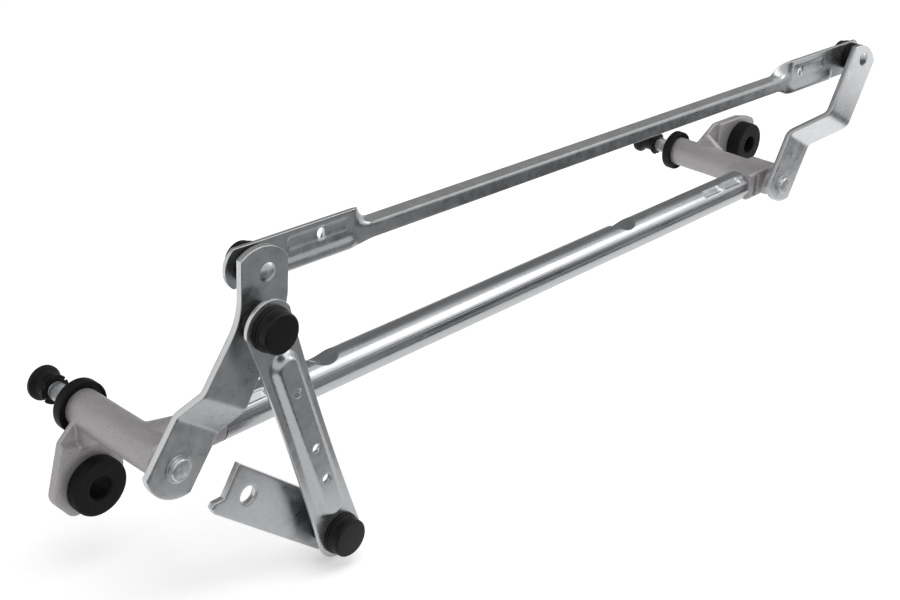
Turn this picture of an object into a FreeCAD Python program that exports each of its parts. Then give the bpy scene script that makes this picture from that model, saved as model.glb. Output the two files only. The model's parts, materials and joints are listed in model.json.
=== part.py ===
"""A windscreen wiper linkage: two spindle housings on a cross tube, cranks, links and a motor crank.

The origin is the centre of the left grommet's bore, at the grommet's front face. +X runs from the
left spindle to the right one, +Y along the spindles towards the wiper arms, and +Z is up.
Each spindle has a station: the point where its axis meets the front face of its crank.
"""
import FreeCAD, Part
import math
import os

import Sketcher

# Driving dimensions in millimetres, angles in degrees.
SIZES = {
    # Layout
    "spindle_spacing": 590.0,
    "far_station_step": 14.0,
    "crank_radius": 108.5,
    "rest_lean": 26.8,
    "drive_ball_radius": 83.8,
    "drive_ball_lean": 29.0,
    "drive_link_length": 151.5,
    "drive_link_lean": 19.6,
    "motor_crank_radius": 70.0,
    "motor_crank_lean": 37.8,
    "station_to_grommet_face": 64.0,
    "left_grommet_side": -3.0,
    "left_grommet_drop": 41.0,
    "right_grommet_side": 53.0,
    "right_grommet_rise": 2.5,
    # Fits
    "running_fit": 0.05,
    "axial_play": 0.3,
    "snap_clearance": 0.1,
    "ball_clearance": 0.08,
    "free_clearance": 0.4,
    "cut_margin": 1.0,
    # Spindle and its bearings
    "spindle_radius": 5.95,
    "spindle_neck_radius": 5.0,
    "rivet_head_radius": 6.2,
    "rivet_head_height": 3.0,
    "rivet_collar_radius": 8.0,
    "rivet_collar_height": 0.8,
    "shoulder_radius": 8.0,
    "shoulder_height": 1.5,
    "spindle_bevel": 0.8,
    "knurl_radius": 5.4,
    "knurl_lead": 0.6,
    "left_knurl_length": 9.2,
    "right_knurl_length": 14.0,
    "thread_radius": 4.0,
    "thread_length": 14.8,
    "bush_wall": 1.6,
    "bush_length": 18.0,
    "bush_set_in": 0.5,
    "washer_radius": 9.0,
    "washer_thickness": 0.8,
    "circlip_radius": 8.2,
    "circlip_thickness": 1.0,
    "circlip_groove_depth": 0.7,
    "circlip_mouth": 5.0,
    "circlip_land": 2.0,
    # Housings
    "bearing_tube_radius": 11.0,
    "left_bearing_tube_end": 83.0,
    "right_bearing_tube_end": 98.5,
    "bearing_relief": 0.8,
    "bearing_nose_step": 1.5,
    "bearing_nose_length": 3.0,
    "casting_bevel": 1.0,
    "arm_offset": 23.0,
    "arm_root_spread": 20.0,
    "arm_root_shift": 5.0,
    "arm_reach": 42.0,
    "block_reach": 30.0,
    "block_length": 23.0,
    "block_height": 21.0,
    "block_far_side": 9.0,
    "block_rise": 1.5,
    "block_core_depth": 4.0,
    "spigot_length": 52.0,
    "spigot_root": 3.0,
    "arm_flare_share": 0.55,
    "block_corner": 2.5,
    "core_inset": 7.0,
    "core_width": 5.5,
    "core_margin": 3.0,
    "left_ear_front": 71.0,
    "right_ear_front": 75.0,
    "ear_step": 3.0,
    "ear_thickness": 6.5,
    "ear_root_share": 0.8,
    "left_ear_shoulder_side": 17.4,
    "left_ear_shoulder_rise": 29.6,
    "left_ear_shoulder_arc": 4.0,
    "left_ear_hip_side": 25.2,
    "left_ear_hip_fall": 2.5,
    "left_ear_hip_arc": 9.0,
    "left_ear_toe_side": 14.0,
    "left_ear_toe_fall": 16.4,
    "left_ear_toe_arc": 7.0,
    "left_ear_heel_arc": 8.0,
    "left_ear_lug_side": 20.6,
    "left_ear_lug_rise": 4.0,
    "left_ear_lug_arc": 5.0,
    "left_step_place": 24.0,
    "left_step_lean": 14.0,
    "right_ear_root_rise": 3.5,
    "right_ear_brow_side": 32.5,
    "right_ear_brow_rise": 21.0,
    "right_ear_brow_arc": 6.0,
    "right_ear_crown_arc": 12.0,
    "right_ear_edge_side": 22.5,
    "right_ear_edge_rise": 16.0,
    "right_ear_edge_fall": 8.0,
    "right_ear_edge_arc": 8.5,
    "right_ear_toe_side": 4.0,
    "right_ear_toe_fall": 19.0,
    "right_ear_bottom_side": 24.0,
    "right_step_place": 22.6,
    "ear_rib_thickness": 5.0,
    "ear_rib_run": 22.0,
    "ear_rib_inset": 1.5,
    "ear_rib_height": 7.5,
    "ear_rib_land": 2.0,
    # Cross tube
    "cross_tube_radius": 11.2,
    "cross_tube_wall": 1.8,
    "groove_width": 3.6,
    "groove_depth": 2.4,
    "groove_lift": 13.0,
    "dent_radius": 15.0,
    "dent_depth": 4.2,
    "dent_turn": 12.0,
    "near_dent_place": 79.0,
    "far_dent_place": 150.0,
    "crimp_length": 20.0,
    "crimp_width": 5.0,
    "crimp_depth": 1.1,
    "crimp_first": 10.0,
    "crimp_pitch": 26.0,
    # Grommets and seal collars
    "grommet_radius": 17.0,
    "grommet_bore_radius": 7.0,
    "grommet_neck_radius": 11.5,
    "grommet_back_radius": 15.0,
    "grommet_back_length": 5.0,
    "grommet_bevel": 0.8,
    "collar_radius": 15.2,
    "collar_lap": 2.2,
    "collar_length": 6.4,
    "collar_rim": 1.3,
    "collar_grip": 1.2,
    "collar_wall": 1.0,
    "collar_bevel": 0.8,
    # Protective caps
    "cap_length": 18.6,
    "cap_disc_radius": 10.2,
    "cap_disc_thickness": 4.2,
    "cap_neck_radius": 6.9,
    "cap_rim_radius": 8.6,
    "cap_rim_thickness": 1.4,
    "cap_rim_slope": 2.0,
    "cap_flare": 3.0,
    "cap_flare_arc": 20.0,
    "cap_bevel": 1.2,
    "cap_roof": 1.8,
    "cap_notch_web": 0.3,
    "cap_notch_width": 2.2,
    "cap_notch_count": 6,
    # Cranks
    "crank_thickness": 4.0,
    "bend_radius": 3.0,
    "left_crank_step": 10.5,
    "left_strip_lean": 33.5,
    "left_foot_side": 16.6,
    "left_crank_side": 15.4,
    "left_elbow_side": 15.1,
    "left_foot_corner": 10.4,
    "left_foot_arc": 22.0,
    "left_bend_low": 23.5,
    "left_bend_high": 39.5,
    "right_crank_width": 36.0,
    "right_bend_low": 37.0,
    "right_bend_high": 59.0,
    "left_crank_foot": 17.2,
    "right_foot_corner": 6.5,
    "right_crank_foot": 12.8,
    "left_knee_arc": 30.0,
    "left_elbow_arc": 35.0,
    "left_head_side": 16.7,
    "right_head_side": 13.5,
    "left_head_corner": 10.0,
    "right_head_corner": 5.0,
    "left_head_arc": 20.4,
    "far_head_corner": 4.0,
    "far_crank_head": 9.8,
    "knee_drop": 20.0,
    "knee_place": 42.0,
    # Ball joints
    "ball_radius": 6.5,
    "ball_height": 8.5,
    "ball_neck_radius": 3.6,
    "ball_neck_slope": 1.0,
    "stud_radius": 4.0,
    "stud_collar_radius": 6.2,
    "stud_collar_height": 1.0,
    "stud_head_radius": 5.3,
    "stud_head_height": 2.2,
    "socket_radius": 10.0,
    "socket_groove": 0.6,
    "socket_bevel": 0.5,
    "socket_mouth_radius": 7.2,
    "socket_lip_radius": 5.2,
    "link_flange_radius": 10.8,
    "drive_flange_radius": 12.2,
    "link_flange_height": 1.7,
    "drive_flange_height": 2.2,
    "socket_crown_radius": 8.8,
    "link_cap_radius": 10.3,
    "drive_cap_radius": 11.8,
    "link_cap_height": 5.0,
    "drive_cap_height": 7.0,
    "socket_cap_bevel": 0.9,
    "socket_cap_notch": 0.7,
    "socket_cap_skirt": 1.2,
    "socket_cap_roof": 1.8,
    # Links
    "link_sheet": 2.5,
    "link_standoff": 9.2,
    "paddle_rise": 10.5,
    "near_paddle_fall": 11.2,
    "far_paddle_fall": 14.0,
    "paddle_overhang": 15.8,
    "paddle_end_arc": 13.5,
    "near_paddle_length": 71.0,
    "far_paddle_length": 82.5,
    "paddle_taper": 16.0,
    "rod_web": 9.2,
    "rod_flange": 8.4,
    "rod_flange_rise": 5.0,
    "rod_drop": 0.6,
    "panel_height": 7.4,
    "panel_depth": 0.8,
    "near_panel_rise": 3.4,
    "far_panel_rise": 1.2,
    "near_panel_margin": 24.7,
    "lip_height": 9.0,
    "lip_depth": 1.8,
    "lip_crest": 2.5,
    "lip_margin": 14.0,
    "far_lip_margin": 22.0,
    "panel_end_gap": 3.0,
    "far_panel_margin": 37.5,
    "near_hole_rise": 3.0,
    "far_hole_rise": 0.4,
    "link_hole_radius": 2.7,
    "near_link_hole": 48.3,
    "far_link_hole": 68.5,
    "drive_link_width": 29.2,
    "drive_link_end": 15.0,
    "drive_link_waist": 1.8,
    "rib_inset": 16.5,
    "rib_base_width": 18.0,
    "rib_top_width": 12.5,
    "rib_height": 5.0,
    "drive_hole_radius": 2.6,
    "drive_hole_upper": 42.0,
    "drive_hole_middle": 82.0,
    "drive_hole_lower": 105.0,
    # Motor crank
    "motor_crank_rise": 13.4,
    "motor_crank_fall": 15.2,
    "motor_crank_thickness": 4.0,
    "motor_crank_tail": 17.6,
    "motor_crank_head": 14.0,
    "motor_hole_radius": 5.25,
    "motor_tail_slant": 2.6,
    "motor_nose_length": 2.3,
    "motor_nose_root": 9.2,
    "motor_nose_height": 5.0,
    "motor_nose_slope": 1.8,
    "motor_nose_run": 3.9,
    "motor_crank_corner": 10.0,
}

X_AXIS = FreeCAD.Vector(1, 0, 0)
Y_AXIS = FreeCAD.Vector(0, 1, 0)
Z_AXIS = FreeCAD.Vector(0, 0, 1)


class Size:
    """A length or ratio that knows its number now and the expression that keeps it bound."""

    def __init__(self, number, text=None):
        self.number = float(number)
        self.text = repr(self.number) if text is None else text

    def join(self, other, sign, number):
        return Size(number, f"({self.text} {sign} {other.text})")

    def __add__(self, other):
        other = as_size(other)
        return self.join(other, "+", self.number + other.number)

    def __sub__(self, other):
        other = as_size(other)
        return self.join(other, "-", self.number - other.number)

    def __mul__(self, other):
        other = as_size(other)
        return self.join(other, "*", self.number * other.number)

    def __truediv__(self, other):
        other = as_size(other)
        return self.join(other, "/", self.number / other.number)

    def __neg__(self):
        return Size(-self.number, f"(-1 * {self.text})")

    __radd__ = __add__
    __rmul__ = __mul__

    def __rsub__(self, other):
        return as_size(other) - self


def as_size(item):
    return item if isinstance(item, Size) else Size(item)


def sine(angle):
    return Size(math.sin(math.radians(angle.number)), f"sin({angle.text})")


def cosine(angle):
    return Size(math.cos(math.radians(angle.number)), f"cos({angle.text})")


def square_root(size):
    return Size(math.sqrt(size.number), f"sqrt({size.text})")


def arc_rise(radius, half):
    """How far an arc stands out beyond its chord, from its radius and half the chord."""
    return radius - square_root(radius * radius - half * half)


def arc_radius(half, rise):
    """The radius of an arc from half its chord and how far it stands out."""
    return (half * half + rise * rise) / (rise * 2)


def bend_shift(step, run, thickness):
    """How far a bend line moves along a strip between its front and its back face."""
    number = thickness.number * math.tan(math.atan2(step.number, run.number) / 2)
    return Size(number, f"({thickness.text} * tan(atan({step.text} / {run.text}) / 2))")


class Sizes:
    """The sheet's sizes by name."""

    def __getattr__(self, name):
        return Size(SIZES[name], f"Sizes.{name}")


S = Sizes()
ZERO = Size(0.0)


def own(kind, name):
    """The size of this name that belongs to one side or to one kind of joint."""
    return getattr(S, f"{kind}_{name}")


doc = FreeCAD.newDocument("wiper_linkage")


def fill_sheet():
    sheet = doc.addObject("Spreadsheet::Sheet", "Sizes")
    for row, (name, number) in enumerate(SIZES.items(), start=1):
        sheet.set(f"A{row}", name)
        sheet.set(f"B{row}", str(number))
        sheet.setAlias(f"B{row}", name)
    doc.recompute()


# Sketching

def origin_item(body, role):
    """The body's own origin plane or axis with this role."""
    return next(item for item in body.Origin.OriginFeatures if item.Role == role)


def new_body(name):
    body = doc.addObject("PartDesign::Body", name)
    body.Label = name
    return body


def new_sketch(body, role, level=ZERO):
    """A sketch on one of the body's own planes. Level is along +Y on XZ, +X on YZ, +Z on XY."""
    sketch = body.newObject("Sketcher::SketchObject", body.Name + "_sketch")
    sketch.AttachmentSupport = [(origin_item(body, role), "")]
    sketch.MapMode = "FlatFace"
    offset = -level if role == "XZ_Plane" else level
    if offset.number:
        sketch.setExpression("AttachmentOffset.Base.z", offset.text)
    return sketch


def fix_point(sketch, curve, end, across, up):
    """Pins one point of a curve to its two sizes."""
    for size, kind, axis in ((across, "DistanceX", -2), (up, "DistanceY", -1)):
        if abs(size.number) < 1e-9:
            sketch.addConstraint(Sketcher.Constraint("PointOnObject", curve, end, axis))
            continue
        rule = sketch.addConstraint(Sketcher.Constraint(kind, -1, 1, curve, end, size.number))
        sketch.setExpression(f"Constraints[{rule}]", size.text)


def arc_between(start, end, radius):
    """A minor arc; a positive radius bulges to the right of the way from start to end."""
    first = FreeCAD.Vector(start[0].number, start[1].number, 0)
    last = FreeCAD.Vector(end[0].number, end[1].number, 0)
    middle = (first + last) / 2
    along = last - first
    left = FreeCAD.Vector(-along.y, along.x, 0).normalize()
    rise = math.sqrt(max(radius.number**2 - (along.Length / 2) ** 2, 0.0))
    side = math.copysign(1.0, radius.number)
    centre = middle + left * rise * side
    circle = Part.Circle(centre, Z_AXIS, abs(radius.number))
    a = math.atan2(first.y - centre.y, first.x - centre.x)
    b = math.atan2(last.y - centre.y, last.x - centre.x)
    return Part.ArcOfCircle(circle, a, b) if side > 0 else Part.ArcOfCircle(circle, b, a)


def draw_outline(sketch, points, arcs=None):
    """Draws a closed outline. Arcs gives the radius of the arc that leaves a point, by its index."""
    arcs = arcs or {}
    curves = []
    for index, start in enumerate(points):
        end = points[(index + 1) % len(points)]
        if index in arcs:
            radius = arcs[index]
            curve = sketch.addGeometry(arc_between(start, end, radius))
            curves.append((curve, 1, 2) if radius.number > 0 else (curve, 2, 1))
            size = radius if radius.number > 0 else -radius
            rule = sketch.addConstraint(Sketcher.Constraint("Radius", curve, size.number))
            sketch.setExpression(f"Constraints[{rule}]", size.text)
        else:
            ends = [FreeCAD.Vector(point[0].number, point[1].number, 0) for point in (start, end)]
            curves.append((sketch.addGeometry(Part.LineSegment(*ends)), 1, 2))
    for index, (curve, start, end) in enumerate(curves):
        follower = curves[(index + 1) % len(curves)]
        sketch.addConstraint(Sketcher.Constraint("Coincident", curve, end, follower[0], follower[1]))
        fix_point(sketch, curve, start, *points[index])


def draw_circle(sketch, across, up, radius):
    place = FreeCAD.Vector(across.number, up.number, 0)
    curve = sketch.addGeometry(Part.Circle(place, Z_AXIS, radius.number))
    rule = sketch.addConstraint(Sketcher.Constraint("Radius", curve, radius.number))
    sketch.setExpression(f"Constraints[{rule}]", radius.text)
    fix_point(sketch, curve, 3, across, up)


def draw_slot(sketch, top, bottom, half_width):
    """An upright slot: straight sides between two round ends of the half width."""
    points = [(half_width, bottom), (half_width, top), (ZERO, top + half_width),
              (-half_width, top), (-half_width, bottom), (ZERO, bottom - half_width)]
    draw_outline(sketch, points, {1: half_width, 2: half_width, 4: half_width, 5: half_width})


# Features

def pad(body, sketch, length, reverse=False):
    feature = body.newObject("PartDesign::Pad", body.Name + "_pad")
    feature.Profile = sketch
    feature.Reversed = reverse
    feature.setExpression("Length", length.text)
    sketch.Visibility = False
    return feature


def pocket(body, sketch, length, towards="front"):
    """Cuts from a sketch towards the front, which is -Y on an XZ sketch, or towards the back."""
    feature = body.newObject("PartDesign::Pocket", body.Name + "_pocket")
    feature.Profile = sketch
    feature.Reversed = towards == "front"
    feature.setExpression("Length", length.text)
    return feature


def loft(body, sketches, subtract=False):
    kind = "PartDesign::SubtractiveLoft" if subtract else "PartDesign::AdditiveLoft"
    feature = body.newObject(kind, body.Name + "_loft")
    feature.Profile = sketches[0]
    feature.Sections = sketches[1:]
    feature.Ruled = True
    return feature


def turned(name, points, arcs=None):
    """A piece turned about the Y axis from an outline of radius and place along the axis."""
    body = new_body(name)
    sketch = new_sketch(body, "XY_Plane")
    draw_outline(sketch, points, arcs)
    turn = body.newObject("PartDesign::Revolution", name + "_turn")
    turn.Profile = sketch
    turn.ReferenceAxis = (sketch, ["V_Axis"])
    turn.Angle = 360
    return body


def fillet_edges(body, radius, chosen):
    """Rounds the edges of the body's tip that the test picks."""
    doc.recompute()
    tip = body.Tip
    names = [f"Edge{n}" for n, edge in enumerate(tip.Shape.Edges, start=1) if chosen(edge)]
    feature = body.newObject("PartDesign::Fillet", body.Name + "_fillet")
    feature.Base = (tip, names)
    feature.setExpression("Radius", radius.text)
    return feature


def edge_along(edge, axis):
    if not isinstance(edge.Curve, Part.Line):
        return False
    return edge.tangentAt(edge.FirstParameter).cross(axis).Length < 1e-6


def corner_test(axis, first, second, place):
    """Picks the edges along an axis that pass through a place given by two coordinates."""
    def chosen(edge):
        if not edge_along(edge, axis):
            return False
        spot = edge.valueAt(edge.FirstParameter)
        gaps = (getattr(spot, first) - place[0].number, getattr(spot, second) - place[1].number)
        return math.hypot(*gaps) < 0.01
    return chosen


def boolean(kind, name, base, *tools):
    """A Part cut, fusion or common of objects."""
    if kind == "Cut" or kind == "Common":
        result = doc.addObject("Part::" + kind, name)
        result.Base = base
        result.Tool = tools[0]
    else:
        result = doc.addObject("Part::MultiFuse", name)
        result.Shapes = [base, *tools]
        result.Refine = True
    result.Label = name
    return result


def cylinder(name, radius, height, place, rotation=FreeCAD.Rotation()):
    item = doc.addObject("Part::Cylinder", name)
    item.setExpression("Radius", radius.text)
    item.setExpression("Height", height.text)
    item.Placement = FreeCAD.Placement(place, rotation)
    return item


def box(name, sides, place, rotation=FreeCAD.Rotation()):
    item = doc.addObject("Part::Box", name)
    for side, size in zip(("Length", "Width", "Height"), sides):
        item.setExpression(side, size.text)
    item.Placement = FreeCAD.Placement(place, rotation)
    return item


def vector(across, along, up):
    return FreeCAD.Vector(*(as_size(item).number for item in (across, along, up)))


# Where things are

def station(side):
    """The left or right spindle's station."""
    across = -S.left_grommet_side
    along = -S.station_to_grommet_face
    if side == "right":
        across = across + S.spindle_spacing
        along = along + S.far_station_step
    return vector(across, along, S.left_grommet_drop)


def link_ball(side):
    """The centre of a link ball at rest."""
    across = sine(S.rest_lean) * S.crank_radius
    up = cosine(S.rest_lean) * S.crank_radius
    return station(side) + vector(across, upper_plate_back(side) + S.ball_height, up)


def crank_step(side):
    """How far a crank's upper part stands in front of its lower part."""
    return S.left_crank_step if side == "left" else S.left_crank_step + S.far_station_step


def upper_plate_back(side):
    return S.crank_thickness - crank_step(side)


def drive_ball_place():
    """The drive ball's place across and up from the left station at rest."""
    return sine(S.drive_ball_lean) * S.drive_ball_radius, cosine(S.drive_ball_lean) * S.drive_ball_radius


def lower_ball_place():
    across, up = drive_ball_place()
    return (across + sine(S.drive_link_lean) * S.drive_link_length,
            up - cosine(S.drive_link_lean) * S.drive_link_length)


def put(item, place, rotation=FreeCAD.Rotation()):
    item.Placement = FreeCAD.Placement(place, rotation)
    return item


# Spindles, bearings and seals

def bearing_face():
    """Where the bearing tube starts behind the crank."""
    return S.crank_thickness + S.shoulder_height + S.washer_thickness + S.axial_play


def washer_seat(side):
    return own(side, "bearing_tube_end") + S.axial_play


def circlip_seat(side):
    return washer_seat(side) + S.washer_thickness


def knurl_start(side):
    return circlip_seat(side) + S.circlip_thickness + S.circlip_land


def knurl_end(side):
    return knurl_start(side) + own(side, "knurl_length")


def make_spindle(side):
    """A riveted spindle: head, crank seat, shoulder, shaft, circlip groove, knurl and thread."""
    front = -S.rivet_head_height
    bevel = S.spindle_bevel
    groove = circlip_seat(side)
    groove_radius = S.spindle_radius - S.circlip_groove_depth
    tip = knurl_end(side) + S.thread_length
    points = [
        (ZERO, front),
        (S.rivet_head_radius - bevel, front),
        (S.rivet_head_radius, front + bevel),
        (S.rivet_head_radius, -S.rivet_collar_height),
        (S.rivet_collar_radius, -S.rivet_collar_height),
        (S.rivet_collar_radius, ZERO),
        (S.spindle_neck_radius, ZERO),
        (S.spindle_neck_radius, S.crank_thickness),
        (S.shoulder_radius, S.crank_thickness),
        (S.shoulder_radius, S.crank_thickness + S.shoulder_height),
        (S.spindle_radius, S.crank_thickness + S.shoulder_height),
        (S.spindle_radius, groove),
        (groove_radius, groove),
        (groove_radius, groove + S.circlip_thickness),
        (S.spindle_radius, groove + S.circlip_thickness),
        (S.spindle_radius, knurl_start(side)),
        (S.knurl_radius, knurl_start(side) + S.knurl_lead),
        (S.knurl_radius, knurl_end(side) - S.knurl_lead),
        (S.knurl_radius - S.knurl_lead, knurl_end(side)),
        (S.thread_radius, knurl_end(side)),
        (S.thread_radius, tip - bevel),
        (S.thread_radius - bevel, tip),
        (ZERO, tip),
    ]
    put(turned(f"{side}_spindle", points), station(side))


def make_ring(name, inner, outer, start, thickness, place):
    """A plain flat ring or bush."""
    points = [(inner, start), (outer, start), (outer, start + thickness), (inner, start + thickness)]
    return put(turned(name, points), place)


def make_bearings(side):
    """Two bushes in the housing, and the washers and circlip that hold the spindle in it."""
    inner = S.spindle_radius + S.running_fit
    outer = inner + S.bush_wall
    first = bearing_face() + S.bush_set_in
    second = own(side, "bearing_tube_end") - S.bush_set_in - S.bush_length
    place = station(side)
    make_ring(f"{side}_front_bush", inner, outer, first, S.bush_length, place)
    make_ring(f"{side}_rear_bush", inner, outer, second, S.bush_length, place)
    shoulder = S.crank_thickness + S.shoulder_height
    make_ring(f"{side}_thrust_washer", inner, S.washer_radius, shoulder, S.washer_thickness, place)
    make_ring(f"{side}_end_washer", inner, S.washer_radius, washer_seat(side), S.washer_thickness, place)
    seat = circlip_seat(side)
    groove_radius = S.spindle_radius - S.circlip_groove_depth
    body = make_ring(f"{side}_circlip", groove_radius, S.circlip_radius, seat, S.circlip_thickness, place)
    gap = new_sketch(body, "XZ_Plane", seat + S.circlip_thickness)
    half_gap = S.circlip_mouth / 2
    reach = S.circlip_radius + S.cut_margin
    draw_outline(gap, [(-half_gap, ZERO), (half_gap, ZERO), (half_gap, reach), (-half_gap, reach)])
    pocket(body, gap, S.circlip_thickness)


def make_seal_collar(side):
    """The rubber cup on the bearing tube's end, open towards the crank."""
    grip = S.bearing_tube_radius + S.running_fit
    rim = S.collar_radius - S.collar_rim
    tube_end = own(side, "bearing_tube_end")
    front = tube_end - S.collar_lap
    end = front + S.collar_length
    hub = tube_end - S.collar_grip
    wall = end - S.collar_wall
    hole = S.spindle_radius + S.axial_play
    points = [
        (rim, front),
        (S.collar_radius, front),
        (S.collar_radius, end - S.collar_bevel),
        (S.collar_radius - S.collar_bevel, end),
        (hole, end),
        (hole, wall),
        (grip, wall),
        (grip, hub),
        (rim, hub),
    ]
    put(turned(f"{side}_seal_collar", points), station(side))


def make_spindle_cap(side):
    """The push-on plastic cap: a notched rim, a waisted neck and a rounded disc."""
    start = knurl_end(side) + S.axial_play
    end = start + S.cap_length
    disc = end - S.cap_disc_thickness
    rim = start + S.cap_rim_thickness
    bore = S.thread_radius + S.running_fit
    points = [
        (bore, start),
        (S.cap_rim_radius, start),
        (S.cap_rim_radius, rim),
        (S.cap_neck_radius, rim + S.cap_rim_slope),
        (S.cap_neck_radius, disc - S.cap_flare),
        (S.cap_disc_radius, disc),
        (S.cap_disc_radius, end - S.cap_bevel),
        (S.cap_disc_radius - S.cap_bevel, end),
        (ZERO, end),
        (ZERO, end - S.cap_roof),
        (bore, end - S.cap_roof),
    ]
    body = turned(f"{side}_spindle_cap", points, {3: -S.cap_flare_arc})
    notch = new_sketch(body, "XZ_Plane", rim + S.cap_rim_slope)
    inner = S.cap_neck_radius + S.cap_notch_web
    half = S.cap_notch_width / 2
    outer = S.cap_rim_radius + S.cut_margin
    draw_outline(notch, [(-half, inner), (half, inner), (half, outer), (-half, outer)])
    cut = pocket(body, notch, S.cap_rim_thickness + S.cap_rim_slope)
    round_the_rim = body.newObject("PartDesign::PolarPattern", body.Name + "_notches")
    round_the_rim.Originals = [cut]
    round_the_rim.Axis = (origin_item(body, "Y_Axis"), [""])
    round_the_rim.Angle = 360
    round_the_rim.setExpression("Occurrences", S.cap_notch_count.text)
    body.Tip = round_the_rim
    put(body, station(side))


# Housings and cross tube

def tube_turn():
    """The cross tube runs from one station's arm to the other's, so it is turned a little."""
    return math.degrees(math.atan2(S.far_station_step.number, S.spindle_spacing.number))


def tube_frame():
    """The cross tube's frame: its origin is on the left spindle's axis and +X is along the tube."""
    start = station("left") + vector(ZERO, S.arm_offset, ZERO)
    return FreeCAD.Placement(start, FreeCAD.Rotation(Z_AXIS, tube_turn()))


def tube_span():
    """Where the cross tube starts and ends along its own frame."""
    length = square_root(S.spindle_spacing * S.spindle_spacing + S.far_station_step * S.far_station_step)
    return S.arm_reach, length - S.block_reach


def grooved_bar(name, shrink, start, end):
    """A round bar with the tube's lengthwise groove, smaller all round by shrink."""
    radius = S.cross_tube_radius - shrink
    half = S.groove_width / 2 + shrink
    floor = S.cross_tube_radius - S.groove_depth - shrink
    shoulder = square_root(radius * radius - half * half)
    body = new_body(name)
    sketch = new_sketch(body, "YZ_Plane", start)
    points = [(-floor, half), (-floor, -half), (-shoulder, -half), (ZERO, -radius),
              (radius, ZERO), (ZERO, radius), (-shoulder, half)]
    draw_outline(sketch, points, {2: radius, 3: radius, 4: radius, 5: radius})
    pad(body, sketch, end - start)
    return put(body, FreeCAD.Vector(), FreeCAD.Rotation(X_AXIS, -S.groove_lift.number))


def crimp_places():
    """Each crimp's start along the tube and its turn about the tube's axis."""
    start, end = tube_span()
    for step in range(2):
        shift = S.crimp_first + S.crimp_pitch * step
        for turn in (-55, 80):
            yield start + shift, turn
            yield end - shift - S.crimp_length, turn


def crimp_tool(name, start, turn, grow):
    """The bar that presses one crimp: everything outside the crimp's floor over its length."""
    floor = S.cross_tube_radius - S.crimp_depth - grow
    length = S.crimp_length + grow * 2
    width = S.crimp_width + grow * 2
    spin = FreeCAD.Rotation(X_AXIS, turn)
    height = S.crimp_depth + S.cut_margin
    corner = vector(start - grow, -floor - height, -width / 2)
    return box(name, (length, height, width), spin.multVec(corner), spin)


def dent_tool(name, place, grow):
    """A round die across the top of the tube, a little towards its back."""
    radius = S.dent_radius + grow
    lift = S.cross_tube_radius - S.dent_depth + S.dent_radius
    reach = S.cross_tube_radius * 2
    spin = FreeCAD.Rotation(X_AXIS, -S.dent_turn.number)
    centre = spin.multVec(vector(place, -reach, lift))
    return cylinder(name, radius, reach * 2, centre, spin.multiply(FreeCAD.Rotation(X_AXIS, -90)))


def pressed_bar(name, shrink, start, end):
    """The grooved bar with its dents and crimps pressed in."""
    bar = grooved_bar(name + "_bar", shrink, start, end)
    tools = []
    for number, (place, turn) in enumerate(crimp_places(), start=1):
        tools.append(crimp_tool(f"{name}_crimp_{number}", place, turn, shrink))
    tube_start, tube_end = tube_span()
    tools.append(dent_tool(name + "_near_dent", tube_start + S.near_dent_place, shrink))
    tools.append(dent_tool(name + "_far_dent", tube_end - S.far_dent_place, shrink))
    press = boolean("Fuse", name + "_press", *tools)
    return boolean("Cut", name, bar, press)


def make_cross_tube():
    start, end = tube_span()
    outside = pressed_bar("cross_tube_outside", ZERO, start, end)
    margin = S.cut_margin
    inside = pressed_bar("cross_tube_inside", S.cross_tube_wall, start - margin, end + margin)
    tube = boolean("Cut", "cross_tube", outside, inside)
    tube.Placement = tube_frame()


def make_spigot(side):
    """The part of a housing that the cross tube is pressed over, with room for the crimps."""
    start, end = tube_span()
    if side == "left":
        first, last = start - S.spigot_root, start + S.spigot_length
    else:
        first, last = end - S.spigot_length, end + S.spigot_root
    shrink = S.cross_tube_wall + S.snap_clearance
    bar = pressed_bar(f"{side}_spigot", shrink, first, last)
    bar.Placement = tube_frame()
    return bar


def ear_outline(side):
    """The ear's corners seen along the spindle, with the radius of each rounded one."""
    tube = S.bearing_tube_radius * S.ear_root_share
    across, up = grommet_offset(side)
    if side == "left":
        corners = [
            (-tube, ZERO, None),
            (across - S.left_ear_shoulder_side, up + S.left_ear_shoulder_rise, S.left_ear_shoulder_arc),
            (across - S.left_ear_hip_side, up - S.left_ear_hip_fall, S.left_ear_hip_arc),
            (across - S.left_ear_toe_side, up - S.left_ear_toe_fall, S.left_ear_toe_arc),
            (across + S.left_ear_toe_side, up - S.left_ear_toe_fall, S.left_ear_heel_arc),
            (across + S.left_ear_lug_side, up + S.left_ear_lug_rise, S.left_ear_lug_arc),
            (tube, ZERO, None),
        ]
    else:
        edge = across + S.right_ear_edge_side
        brow = up + S.right_ear_brow_rise
        bottom = up - S.right_ear_toe_fall
        corners = [
            (-tube, ZERO, None),
            (-tube, up + S.right_ear_root_rise, None),
            (across - S.right_ear_brow_side, brow, S.right_ear_brow_arc),
            (across, brow, S.right_ear_crown_arc),
            (edge, up + S.right_ear_edge_rise, S.right_ear_edge_arc),
            (edge, up - S.right_ear_edge_fall, S.right_ear_edge_arc),
            (across + S.right_ear_toe_side, bottom, S.right_ear_edge_arc),
            (across - S.right_ear_bottom_side, bottom, None),
        ]
    return corners, across, up


def grommet_offset(side):
    """The grommet's place across and up from its station."""
    if side == "left":
        return S.left_grommet_side, -S.left_grommet_drop
    return S.right_grommet_side, S.right_grommet_rise


def step_outline(side):
    """The part of the ear's front that lies back between the tube and the grommet's pad."""
    across, up = grommet_offset(side)
    far = S.arm_reach * 2
    if side == "left":
        place = up + S.left_step_place
        fall = sine(S.left_step_lean) / cosine(S.left_step_lean) * far
        return [(across - far, place + fall), (across + far, place - fall),
                (across + far, far), (across - far, far)]
    return [(-far, -far), (S.right_step_place, -far), (S.right_step_place, far), (-far, far)]


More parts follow.
